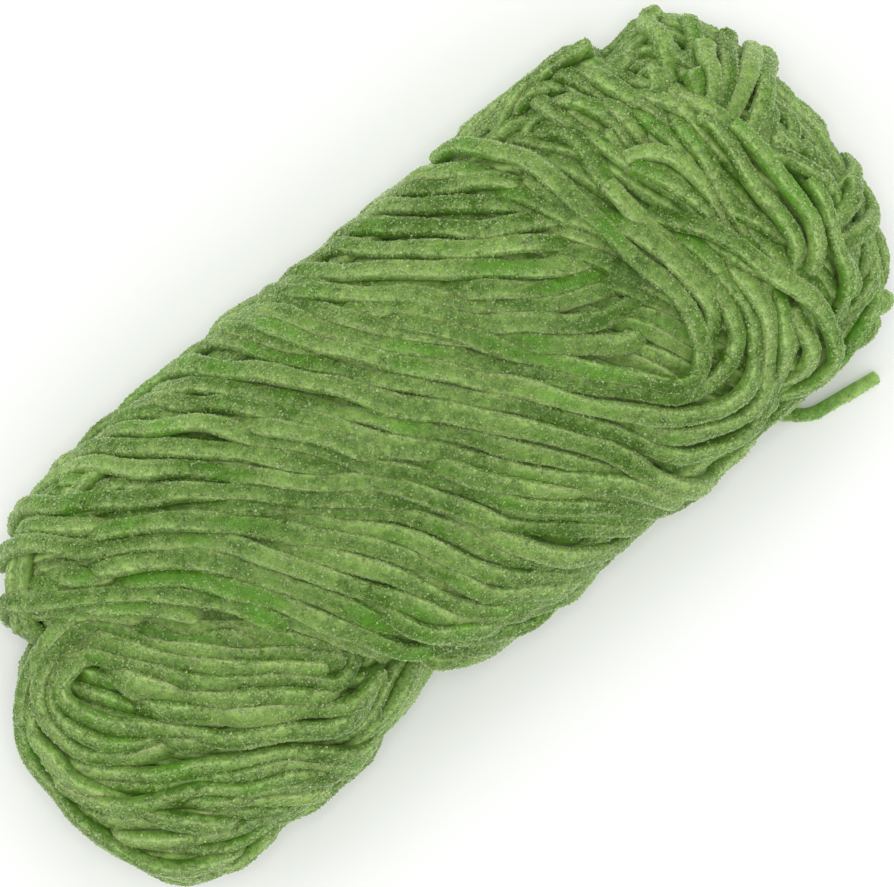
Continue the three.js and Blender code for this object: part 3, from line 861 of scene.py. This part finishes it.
def add_tube(parts, points, places, radius, sides, rng, unevenness, flatness=0.0, least_painted_light=0.0):
    """A closed lumpy tube along the points, with slightly rounded flat ends."""
    across, up, ahead = turned_frames(points)
    swell = 1 + unevenness * 0.045 * waves(places, rng, (41.0, 17.0, 7.3))
    radii = radius * swell
    extra = len(END_RINGS) - 1
    start = [points[0] - ahead[0] * past * radius / 1.9 for past, _ in END_RINGS[:0:-1]]
    end = [points[-1] + ahead[-1] * past * radius / 1.9 for past, _ in END_RINGS[1:]]
    widths = np.array([width for _, width in END_RINGS[1:]])
    middles = np.vstack([start, points, end])
    radii = np.concatenate([radii[0] * widths[::-1], radii, radii[-1] * widths])
    pick = np.clip(np.arange(len(middles)) - extra, 0, len(points) - 1)
    turn = np.linspace(0, 2 * np.pi, sides, endpoint=False)
    rough = 1 + unevenness * 0.018 * rng.standard_normal((len(middles), sides))
    wide = (radii[:, None] * rough)[..., None]
    flat = (1 + unevenness * flatness * (1 + waves(places, rng, (53.0, 23.0))).clip(0, 2) / 2)[pick][:, None, None]
    sideways = flat * np.cos(turn)[None, :, None] * across[pick][:, None]
    vertices = middles[:, None] + wide * (sideways + 0.97 * np.sin(turn)[None, :, None] * up[pick][:, None])
    rows, columns = np.meshgrid(np.arange(len(middles) - 1), np.arange(sides), indexing="ij")
    after = (columns + 1) % sides
    quads = np.stack([
        rows * sides + columns, rows * sides + after, (rows + 1) * sides + after, (rows + 1) * sides + columns,
    ], axis=-1).reshape(-1, 4)
    along = np.concatenate([[0], np.cumsum(np.linalg.norm(np.diff(middles, axis=0), axis=1))])
    girth = 2 * np.pi * radius / sides
    corners = np.stack([
        np.stack([along[rows], columns * girth], -1), np.stack([along[rows], (columns + 1) * girth], -1),
        np.stack([along[rows + 1], (columns + 1) * girth], -1), np.stack([along[rows + 1], columns * girth], -1),
    ], axis=2).reshape(-1, 4, 2)
    # Painted sheen: the upper flanks of each lace, which curve away from the overhead view, get a high value that
    # paints them paler
    flank = smooth(np.abs(np.cos(turn)), 0.2, 0.8) * smooth(np.sin(turn), -0.1, 0.35)
    # Painted light: the least value can raise the painted sheen all round a tube
    flank = np.maximum(flank, least_painted_light)
    parts.add(vertices.reshape(-1, 3), quads, rng.uniform(0, 1), np.tile(flank, len(middles)), corners)


def packed_strips(strips, margin=0.6):
    """Lays each lace's own strip of faces into a square map, row after row."""
    lengths = [strip[..., 0].max() + margin for strip in strips]
    width = max(strip[..., 1].max() for strip in strips) + margin
    side = math.sqrt(sum(lengths) * width) + width
    side = max(side, max(lengths))
    x = y = 0.0
    placed = []
    for strip, length in zip(strips, lengths):
        if x + length > side:
            x = 0.0
            y += width
        placed.append(strip + (x, y))
        x += length
    whole = max(side, y + width)
    return np.concatenate(placed) / whole


def mesh_object(name, points, faces, material, uvs=None, values=None, flat=False):
    """A piece from arrays, in metres, riding on the bundle, with the bundle's solid hidden."""
    mesh = bpy.data.meshes.new(name)
    count, corners = faces.shape
    mesh.vertices.add(len(points))
    mesh.vertices.foreach_set("co", ((points - PLAN_MIDDLE) * MM).ravel())
    mesh.loops.add(count * corners)
    mesh.loops.foreach_set("vertex_index", faces.astype(np.int32).ravel())
    mesh.polygons.add(count)
    mesh.polygons.foreach_set("loop_start", np.arange(0, count * corners, corners, dtype=np.int32))
    mesh.update(calc_edges=True)
    mesh.validate()
    if flat:
        mesh.shade_flat()
    else:
        mesh.shade_smooth()
    if uvs is not None:
        layer = mesh.uv_layers.new(name="OFBake")
        layer.uv.foreach_set("vector", uvs.astype(np.float32).ravel())
    for value_name, value in (values or {}).items():
        attribute_data = mesh.attributes.new(value_name, "FLOAT", "POINT")
        attribute_data.data.foreach_set("value", value.astype(np.float32))
    mesh.materials.append(material)
    piece = bpy.data.objects.new(name, mesh)
    bpy.context.scene.collection.objects.link(piece)
    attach(piece, "root")
    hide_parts(NODE)
    return piece


def parts_object(name, parts):
    values = {"lace": np.concatenate(parts.lace), "flank": np.concatenate(parts.flank)}
    return mesh_object(
        name, np.vstack(parts.points), np.vstack(parts.quads), gum_material(),
        uvs=packed_strips(parts.uvs), values=values,
    )


def lace_piece(name, seed, sides=None, skip=1, flatness=0.25):
    """One piece made of its wound laces; skip leaves out points of laces that hardly show."""
    sizes = bpy.context.scene.lace_sizes
    sides = sides or sizes.lace_sides
    rng = np.random.default_rng(seed)
    parts = MeshParts()
    for points, radius in wound_laces()[name]:
        points = points[::skip]
        places = np.concatenate([[0], np.cumsum(np.linalg.norm(np.diff(points, axis=0), axis=1))])
        add_tube(parts, points, places, radius, sides, rng, sizes.unevenness, flatness)
    return parts_object(name, parts)


# Materials


def node_material(name):
    material = bpy.data.materials.new(name)
    material.use_nodes = True
    tree = material.node_tree
    return material, tree, tree.nodes["Principled BSDF"]


def object_coordinates(tree):
    return tree.nodes.new("ShaderNodeTexCoord").outputs["Object"]


def noise(tree, coordinates, scale, detail=3.0, roughness=0.55, lace=None):
    """Smooth noise; where a lace's own number is given, each lace has a noise of its own."""
    node = tree.nodes.new("ShaderNodeTexNoise")
    node.inputs["Scale"].default_value = scale
    node.inputs["Detail"].default_value = detail
    node.inputs["Roughness"].default_value = roughness
    tree.links.new(coordinates, node.inputs["Vector"])
    if lace:
        node.noise_dimensions = "4D"
        tree.links.new(combined(tree, "MULTIPLY", lace, 90.0), node.inputs["W"])
    return node.outputs["Fac"]


def crystals(tree, coordinates, scale):
    """A random value for each small cell."""
    node = tree.nodes.new("ShaderNodeTexVoronoi")
    node.inputs["Scale"].default_value = scale
    tree.links.new(coordinates, node.inputs["Vector"])
    parts = tree.nodes.new("ShaderNodeSeparateColor")
    tree.links.new(node.outputs["Color"], parts.inputs["Color"])
    return parts.outputs["Red"]


def remapped(tree, value, low, high, to_low=0.0, to_high=1.0):
    node = tree.nodes.new("ShaderNodeMapRange")
    node.inputs["From Min"].default_value = low
    node.inputs["From Max"].default_value = high
    node.inputs["To Min"].default_value = to_low
    node.inputs["To Max"].default_value = to_high
    tree.links.new(value, node.inputs["Value"])
    return node.outputs["Result"]


def combined(tree, operation, first, second):
    node = tree.nodes.new("ShaderNodeMath")
    node.operation = operation
    for socket, value in zip(node.inputs, (first, second)):
        if isinstance(value, float):
            socket.default_value = value
        else:
            tree.links.new(value, socket)
    return node.outputs["Value"]


def mixed_colours(tree, share, first, second):
    node = tree.nodes.new("ShaderNodeMix")
    node.data_type = "RGBA"
    tree.links.new(share, node.inputs["Factor"])
    for socket, colour in zip((node.inputs[6], node.inputs[7]), (first, second)):
        if isinstance(colour, bpy.types.NodeSocket):
            tree.links.new(colour, socket)
        else:
            socket.default_value = (*colour, 1)
    return node.outputs[2]


def bumps(tree, shader, height, strength, distance):
    node = tree.nodes.new("ShaderNodeBump")
    node.inputs["Strength"].default_value = strength
    node.inputs["Distance"].default_value = distance
    tree.links.new(height, node.inputs["Height"])
    tree.links.new(node.outputs["Normal"], shader.inputs["Normal"])


def attribute(tree, name):
    node = tree.nodes.new("ShaderNodeAttribute")
    node.attribute_name = name
    return node.outputs["Fac"]


def sugar_coat(tree, place):
    """How thick the sugar lies, from 0 to 1: grain by grain, in clusters, and by stretch of lace."""
    grains = remapped(tree, crystals(tree, place, 2300.0), 0.0, 1.0, -0.06, 0.2)
    clusters = remapped(tree, noise(tree, place, 520.0, 3.0, 0.8), 0.36, 0.64, -0.04, 0.39)
    patches = remapped(tree, noise(tree, place, 130.0, 3.0, 0.7), 0.36, 0.64, -0.13, 0.13)
    stretches = remapped(tree, noise(tree, place, 38.0, 1.0, lace=attribute(tree, "lace")), 0.32, 0.68, -0.26, 0.48)
    coat = combined(tree, "ADD", grains, clusters)
    return combined(tree, "ADD", coat, combined(tree, "ADD", patches, stretches))


def coated_colour(tree, place, coat):
    """Gum seen through its sugar, with clearer green where it has rubbed off along a lace."""
    colours = bpy.context.scene.candy_colours
    base = mixed_colours(tree, coat, colours.bare_green, colours.frosted_green)
    rubbed = remapped(tree, noise(tree, place, 55.0, 2.0, lace=attribute(tree, "lace")), 0.54, 0.68, 0.0, 0.65)
    return mixed_colours(tree, rubbed, base, colours.clear_green)


def gum_material():
    """Translucent green gum under an uneven coat of fine sugar, with painted sheen on each lace's upper flanks."""
    found = bpy.data.materials.get("sugared_gum")
    if found:
        return found
    material, tree, shader = node_material("sugared_gum")
    place = object_coordinates(tree)
    # Painted sheen: the flank value lifts the sugar coat and mixes in pale sugar along each lace's upper flanks, so
    # the coat here is real sugar and painted sheen
    painted_sheen = remapped(tree, attribute(tree, "flank"), 0.0, 1.0, -0.1, 0.4)
    coat = combined(tree, "ADD", sugar_coat(tree, place), painted_sheen)
    painted_rim_sheen = combined(tree, "MULTIPLY", remapped(tree, attribute(tree, "flank"), 0.4, 1.0, 0.0, 0.45), coat)
    colour = mixed_colours(tree, painted_rim_sheen, coated_colour(tree, place, coat), bpy.context.scene.candy_colours.pale_sugar_and_sheen)
    tree.links.new(colour, shader.inputs["Base Color"])
    rough = remapped(tree, coat, 0.0, 1.0, 0.4, 0.75)
    tree.links.new(rough, shader.inputs["Roughness"])
    bumps(tree, shader, coat, 0.7, 0.3 * MM)
    shader.inputs["Specular IOR Level"].default_value = 0.25
    shader.inputs["Subsurface Weight"].default_value = 0.7
    shader.inputs["Subsurface Radius"].default_value = (0.45, 1.0, 0.2)
    shader.inputs["Subsurface Scale"].default_value = 3.5 * MM
    shader.inputs["Sheen Weight"].default_value = 0.3
    shader.inputs["Sheen Roughness"].default_value = 0.3
    shader.inputs["Sheen Tint"].default_value = (0.75, 0.95, 0.45, 1)
    return material


def shaded_gum_material():
    """Painted shade: the gum darkened towards the painted shade green, for the hidden core that shows in the gaps
    between the laces.
    """
    colours = bpy.context.scene.candy_colours
    material, tree, shader = node_material("shaded_gum")
    place = object_coordinates(tree)
    share = remapped(tree, noise(tree, place, 420.0, 4.0), 0.35, 0.7, 0.0, 0.5)
    colour = mixed_colours(tree, share, colours.painted_shade_green, colours.bare_green)
    tree.links.new(colour, shader.inputs["Base Color"])
    bumps(tree, shader, noise(tree, place, 1500.0, 2.0), 0.4, 0.2 * MM)
    shader.inputs["Roughness"].default_value = 0.6
    return material


def sugar_material():
    """Fine sugar grains, from stained green to clean and pale; paler on the laces' upper flanks as painted sheen.
    """
    found = bpy.data.materials.get("sugar_grains")
    if found:
        return found
    colours = bpy.context.scene.candy_colours
    material, tree, shader = node_material("sugar_grains")
    place = object_coordinates(tree)
    stained = coated_colour(tree, place, combined(tree, "ADD", sugar_coat(tree, place), 0.25))
    share = remapped(tree, attribute(tree, "grain"), 0.5, 1.0, 0.0, 0.9)
    colour = mixed_colours(tree, share, stained, colours.pale_sugar_and_sheen)
    tree.links.new(colour, shader.inputs["Base Color"])
    shader.inputs["Roughness"].default_value = 0.4
    shader.inputs["Specular IOR Level"].default_value = 0.25
    shader.inputs["Subsurface Weight"].default_value = 0.8
    shader.inputs["Subsurface Radius"].default_value = (0.9, 1.0, 0.8)
    shader.inputs["Subsurface Scale"].default_value = 1.0 * MM
    return material


def floor_material():
    settings = bpy.context.scene.candy_stage
    material, tree, shader = node_material("pale_floor")
    place = object_coordinates(tree)
    share = remapped(tree, noise(tree, place, 3.0, 2.0), 0.3, 0.7)
    dimmer = tuple(0.985 * value for value in settings.floor_colour)
    tree.links.new(mixed_colours(tree, share, dimmer, settings.floor_colour), shader.inputs["Base Color"])
    shader.inputs["Roughness"].default_value = 0.85
    return material


# Operators


class CANDY_OT_core(bpy.types.Operator):
    """Adds the hidden body that the laces are wound on, in a dark gum that paints the shade in the gaps between
    them
    """

    bl_idname = "candy.core"
    bl_label = "Core"

    def execute(self, context):
        rings, sides, sunk = 60, 56, 4.2
        turn = np.linspace(0, 2 * np.pi, sides, endpoint=False)
        round_by = 2 / SECTION_ROUNDNESS
        across = np.sign(np.cos(turn)) * np.abs(np.cos(turn)) ** round_by
        up = np.sign(np.sin(turn)) * np.abs(np.sin(turn)) ** round_by
        middle = (LEFT_TIP + RIGHT_TIP) / 2
        half = (RIGHT_TIP - LEFT_TIP) / 2 - LACE_RADIUS - sunk
        x = middle - half * np.cos(np.linspace(0.02, np.pi - 0.02, rings))
        girth = np.maximum(0.02, 1 - end_term(x)) ** (1 / SECTION_ROUNDNESS)
        rise = np.where(up[None] > 0, top_rise(x)[:, None], BOTTOM_DROP - LACE_RADIUS)
        points = np.stack([
            np.broadcast_to(x[:, None], (rings, sides)),
            midline_y(x)[:, None] + (HALF_WIDTH - LACE_RADIUS) * girth[:, None] * across,
            MID_HEIGHT + rise * girth[:, None] * up,
        ], axis=-1).reshape(-1, 3)
        points = settled(points, np.full(len(points), sunk))
        points[:, 2] = np.maximum(points[:, 2], 4.2)
        rows, columns = np.meshgrid(np.arange(rings - 1), np.arange(sides), indexing="ij")
        after = (columns + 1) % sides
        quads = np.stack([
            rows * sides + columns, (rows + 1) * sides + columns, (rows + 1) * sides + after, rows * sides + after,
        ], axis=-1).reshape(-1, 4)
        mesh_object("core", points, quads, shaded_gum_material())
        return {"FINISHED"}


class CANDY_OT_deep_laces(bpy.types.Operator):
    """Adds the second layer of laces, which shows between those on top"""

    bl_idname = "candy.deep_laces"
    bl_label = "Deep laces"

    def execute(self, context):
        lace_piece("deep_laces", 11, sides=8, skip=2)
        return {"FINISHED"}


class CANDY_OT_wrap_laces(bpy.types.Operator):
    """Adds the laces that wrap over the main body from edge to edge"""

    bl_idname = "candy.wrap_laces"
    bl_label = "Wrap laces"

    def execute(self, context):
        lace_piece("wrap_laces", 21)
        return {"FINISHED"}


class CANDY_OT_bend_laces(bpy.types.Operator):
    """Adds the laces that bend back in a U, those inside the bends and the crossing lace"""

    bl_idname = "candy.bend_laces"
    bl_label = "Bend laces"

    def execute(self, context):
        lace_piece("bend_laces", 31)
        return {"FINISHED"}


class CANDY_OT_lobe_laces(bpy.types.Operator):
    """Adds the laces of the folded lobe at the left end"""

    bl_idname = "candy.lobe_laces"
    bl_label = "Lobe laces"

    def execute(self, context):
        lace_piece("lobe_laces", 41, flatness=0.7)
        return {"FINISHED"}


class CANDY_OT_cut_end_laces(bpy.types.Operator):
    """Adds the fan of laces and cut ends at the right end"""

    bl_idname = "candy.cut_end_laces"
    bl_label = "Cut ends"

    def execute(self, context):
        lace_piece("cut_end_laces", 51)
        return {"FINISHED"}


class CANDY_OT_side_laces(bpy.types.Operator):
    """Adds the laces round the side of the cut-end half and across the underside"""

    bl_idname = "candy.side_laces"
    bl_label = "Side laces"

    def execute(self, context):
        lace_piece("side_laces", 61, sides=8, skip=2)
        return {"FINISHED"}


class CANDY_OT_loose_end(bpy.types.Operator):
    """Adds the thin loose end that lies on the table"""

    bl_idname = "candy.loose_end"
    bl_label = "Loose end"

    def execute(self, context):
        sizes = context.scene.lace_sizes
        radius = sizes.loose_thickness / MM / 2
        points, length = even_points(spline(route_points(LOOSE_END)), 46)
        rng = np.random.default_rng(73)
        parts = MeshParts()
        places = np.linspace(0, length, len(points))
        # Painted light: the whole loose end is painted paler, making up for the shade that the bundle casts on it
        add_tube(parts, points, places, radius, 14, rng, sizes.unevenness, least_painted_light=0.75)
        parts_object("loose_end", parts)
        return {"FINISHED"}


SUGARED = ("wrap_laces", "bend_laces", "cut_end_laces", "lobe_laces", "side_laces", "deep_laces", "loose_end")
SUGAR_PIECES = ("sugar_left", "sugar_middle_left", "sugar_middle_right", "sugar_right")

# Corners and faces of one grain
GRAIN_POINTS = np.array([[1, 1, 1], [1, -1, -1], [-1, 1, -1], [-1, -1, 1]]) / math.sqrt(3)
GRAIN_FACES = np.array([[0, 1, 2], [0, 3, 1], [0, 2, 3], [1, 3, 2]])


def face_data(piece):
    """Corners, normals, areas, lace numbers and painted sheen flank values of a piece's faces, in millimetres of
    the plan.
    """
    mesh = piece.data
    count = len(mesh.polygons)
    normals, areas, points = np.empty(count * 3), np.empty(count), np.empty(len(mesh.vertices) * 3)
    mesh.polygons.foreach_get("normal", normals)
    mesh.polygons.foreach_get("area", areas)
    mesh.vertices.foreach_get("co", points)
    lace, flank = np.empty(len(mesh.vertices)), np.empty(len(mesh.vertices))
    mesh.attributes["lace"].data.foreach_get("value", lace)
    mesh.attributes["flank"].data.foreach_get("value", flank)
    corners = np.empty(len(mesh.loops), dtype=np.int32)
    mesh.loops.foreach_get("vertex_index", corners)
    placed = (points.reshape(-1, 3) / MM + PLAN_MIDDLE)[corners].reshape(-1, 4, 3)
    return placed, normals.reshape(-1, 3), areas, lace[corners[::4]], flank[corners].reshape(-1, 4).mean(1)


def places_on(corners, rng):
    """A random place on each face."""
    along, over = rng.uniform(0, 1, (2, len(corners), 1))
    first = corners[:, 0] * (1 - along) + corners[:, 1] * along
    second = corners[:, 3] * (1 - along) + corners[:, 2] * along
    return first * (1 - over) + second * over


def turned_grains(count, rng):
    """Each grain's corners, turned at random."""
    q = rng.standard_normal((count, 4))
    q /= np.linalg.norm(q, axis=1, keepdims=True)
    w, x, y, z = q.T
    turns = np.stack([
        1 - 2 * (y * y + z * z), 2 * (x * y - w * z), 2 * (x * z + w * y),
        2 * (x * y + w * z), 1 - 2 * (x * x + z * z), 2 * (y * z - w * x),
        2 * (x * z - w * y), 2 * (y * z + w * x), 1 - 2 * (x * x + y * y),
    ], axis=1).reshape(-1, 3, 3)
    return np.einsum("nij,kj->nki", turns, GRAIN_POINTS)


def cell_map(count):
    """A small cell of a square map for each grain, shared by its faces."""
    side = math.ceil(math.sqrt(count))
    cell = np.stack([np.arange(count) % side, np.arange(count) // side], axis=1) / side
    corners = np.array([[0.2, 0.2], [0.8, 0.2], [0.5, 0.8]]) / side
    return (cell[:, None, None] + corners[None, None]).repeat(len(GRAIN_FACES), axis=1)


def shows(corners, places, ways):
    """Whether nothing lies over each place within a few millimetres."""
    faces = np.arange(corners.size // 3).reshape(-1, 4).tolist()
    tree = BVHTree.FromPolygons(corners.reshape(-1, 3).tolist(), faces)
    starts = (places + ways * 0.15).tolist()
    return np.array([tree.ray_cast(start, way, 7.0)[0] is None for start, way in zip(starts, ways.tolist())])


def sugar_grains(rng):
    """Corners, lace numbers and tones of all grains, ordered from left to right."""
    sizes = bpy.context.scene.lace_sizes
    found = [face_data(bpy.data.objects[source]) for source in SUGARED]
    corners, normals, areas, laces, flanks = (np.concatenate(part) for part in zip(*found))
    middles = corners.mean(1)
    way = outward(middles)[1]
    way[:, 2] = np.maximum(way[:, 2], 0)
    way /= np.linalg.norm(way, axis=1, keepdims=True)
    on_top = smooth(middles[:, 2], 6, 30)
    weight = areas * smooth((normals * way).sum(1), -0.3, 0.1) * (0.3 + 0.7 * on_top)
    # Painted sheen: more grains lie on the laces' upper flanks
    weight *= shows(corners, middles, way + 0.9 * normals) * (0.7 + 0.8 * flanks)
    count = sizes.grains_per_piece * len(SUGAR_PIECES)
    chosen = rng.choice(len(areas), count, p=weight / weight.sum())
    size = sizes.grain_size / MM * rng.lognormal(-0.05, 0.22, count).clip(0.5, 1.5)
    at = places_on(corners[chosen], rng) + normals[chosen] * (size * 0.02)[:, None]
    points = at[:, None] + turned_grains(count, rng) * (size * 0.62)[:, None, None]
    points[..., 2] = np.maximum(points[..., 2], 0.05)
    order = at[:, 0].argsort(kind="stable")
    # Painted sheen: grains on the upper flanks are paler
    tones = rng.uniform(0, 1, count) * (0.75 + 0.25 * flanks[chosen])
    return points[order], laces[chosen][order], tones[order]


class CANDY_OT_sugar(bpy.types.Operator):
    """Scatters sugar grains over the laces where they show"""

    bl_idname = "candy.sugar"
    bl_label = "Sugar"

    def execute(self, context):
        rng = np.random.default_rng(81)
        parts = [np.array_split(array, len(SUGAR_PIECES)) for array in sugar_grains(rng)]
        for name, points, laces, tones in zip(SUGAR_PIECES, *parts):
            faces = GRAIN_FACES[None] + 4 * np.arange(len(points))[:, None, None]
            values = {"grain": np.repeat(tones, 4), "lace": np.repeat(laces, 4)}
            mesh_object(
                name, points.reshape(-1, 3), faces.reshape(-1, 3), sugar_material(),
                uvs=cell_map(len(points)), values=values, flat=True,
            )
        return {"FINISHED"}


def area_light(name, place, target, size, power, colour=(1, 1, 1)):
    data = bpy.data.lights.new(name, "AREA")
    data.size = size
    data.energy = power
    data.color = colour
    light = bpy.data.objects.new(name, data)
    light.location = place
    gap = np.array(target) - np.array(place)
    light.rotation_euler = (
        math.atan2(math.hypot(gap[0], gap[1]), -gap[2]), 0, math.atan2(gap[0], -gap[1]) + math.pi,
    )
    bpy.context.scene.collection.objects.link(light)
    return light


class CANDY_OT_stage(bpy.types.Operator):
    """Adds the pale floor, soft lights and the overhead camera"""

    bl_idname = "candy.stage"
    bl_label = "Stage"

    def execute(self, context):
        settings = context.scene.candy_stage
        bpy.ops.mesh.primitive_plane_add(size=12)
        floor = context.object
        floor.name = "floor"
        floor.data.materials.append(floor_material())
        up_x = -math.sin(settings.view_turn)
        up_y = math.cos(settings.view_turn)
        area_light("key", (0.9 * up_x, 0.9 * up_y, 1.15), (0, 0, 0), 1.2, 4.5)
        area_light("fill", (-1.0 * up_y, 1.0 * up_x, 1.2), (0, 0, 0), 1.4, 2.6)
        area_light("low_fill", (0.8 * up_y - 0.6 * up_x, -0.8 * up_x - 0.6 * up_y, 0.9), (0, 0, 0), 1.4, 2.8)
        area_light("front", (0, 0, settings.camera_height + 0.4), (0, 0, 0), 0.5, 13.2)
        world = bpy.data.worlds.new("soft_room")
        world.use_nodes = True
        world.node_tree.nodes["Background"].inputs["Color"].default_value = (1, 1, 1, 1)
        world.node_tree.nodes["Background"].inputs["Strength"].default_value = 0.8
        context.scene.world = world
        data = bpy.data.cameras.new("camera")
        data.sensor_width = 36
        data.lens = data.sensor_width * settings.camera_height / settings.view_width
        camera = bpy.data.objects.new("camera", data)
        camera.location = (3.54 * MM, -0.31 * MM, settings.camera_height + MID_HEIGHT * MM)
        camera.rotation_euler = (0, 0, settings.view_turn)
        context.scene.collection.objects.link(camera)
        context.scene.camera = camera
        context.scene.view_settings.view_transform = "Standard"
        return {"FINISHED"}


class CANDY_PT_panel(bpy.types.Panel):
    bl_label = "Candy laces"
    bl_idname = "CANDY_PT_panel"
    bl_space_type = "VIEW_3D"
    bl_region_type = "UI"
    bl_category = "Candy"

    def draw(self, context):
        layout = self.layout
        scene = context.scene
        for settings in (scene.lace_sizes, scene.candy_colours, scene.candy_stage):
            for name in settings.__annotations__:
                layout.prop(settings, name)
        for operator in OPERATORS:
            layout.operator(operator.bl_idname)


SETTINGS = {"lace_sizes": LaceSizes, "candy_colours": CandyColours, "candy_stage": StageSettings}
OPERATORS = [
    CANDY_OT_core, CANDY_OT_deep_laces, CANDY_OT_wrap_laces, CANDY_OT_bend_laces, CANDY_OT_lobe_laces,
    CANDY_OT_cut_end_laces, CANDY_OT_side_laces, CANDY_OT_loose_end, CANDY_OT_sugar, CANDY_OT_stage,
]


def register():
    for kind in (*SETTINGS.values(), *OPERATORS, CANDY_PT_panel):
        bpy.utils.register_class(kind)
    for name, kind in SETTINGS.items():
        setattr(bpy.types.Scene, name, bpy.props.PointerProperty(type=kind))


def unregister():
    for name in SETTINGS:
        delattr(bpy.types.Scene, name)
    for kind in (CANDY_PT_panel, *reversed(OPERATORS), *reversed(SETTINGS.values())):
        bpy.utils.unregister_class(kind)


def main():
    register()
    wound_laces.cache_clear()
    for operator in (
        bpy.ops.candy.core, bpy.ops.candy.deep_laces, bpy.ops.candy.wrap_laces, bpy.ops.candy.bend_laces,
        bpy.ops.candy.lobe_laces, bpy.ops.candy.cut_end_laces, bpy.ops.candy.side_laces,
        bpy.ops.candy.loose_end, bpy.ops.candy.sugar, bpy.ops.candy.stage,
    ):
        operator()


if __name__ == "__main__":
    main()
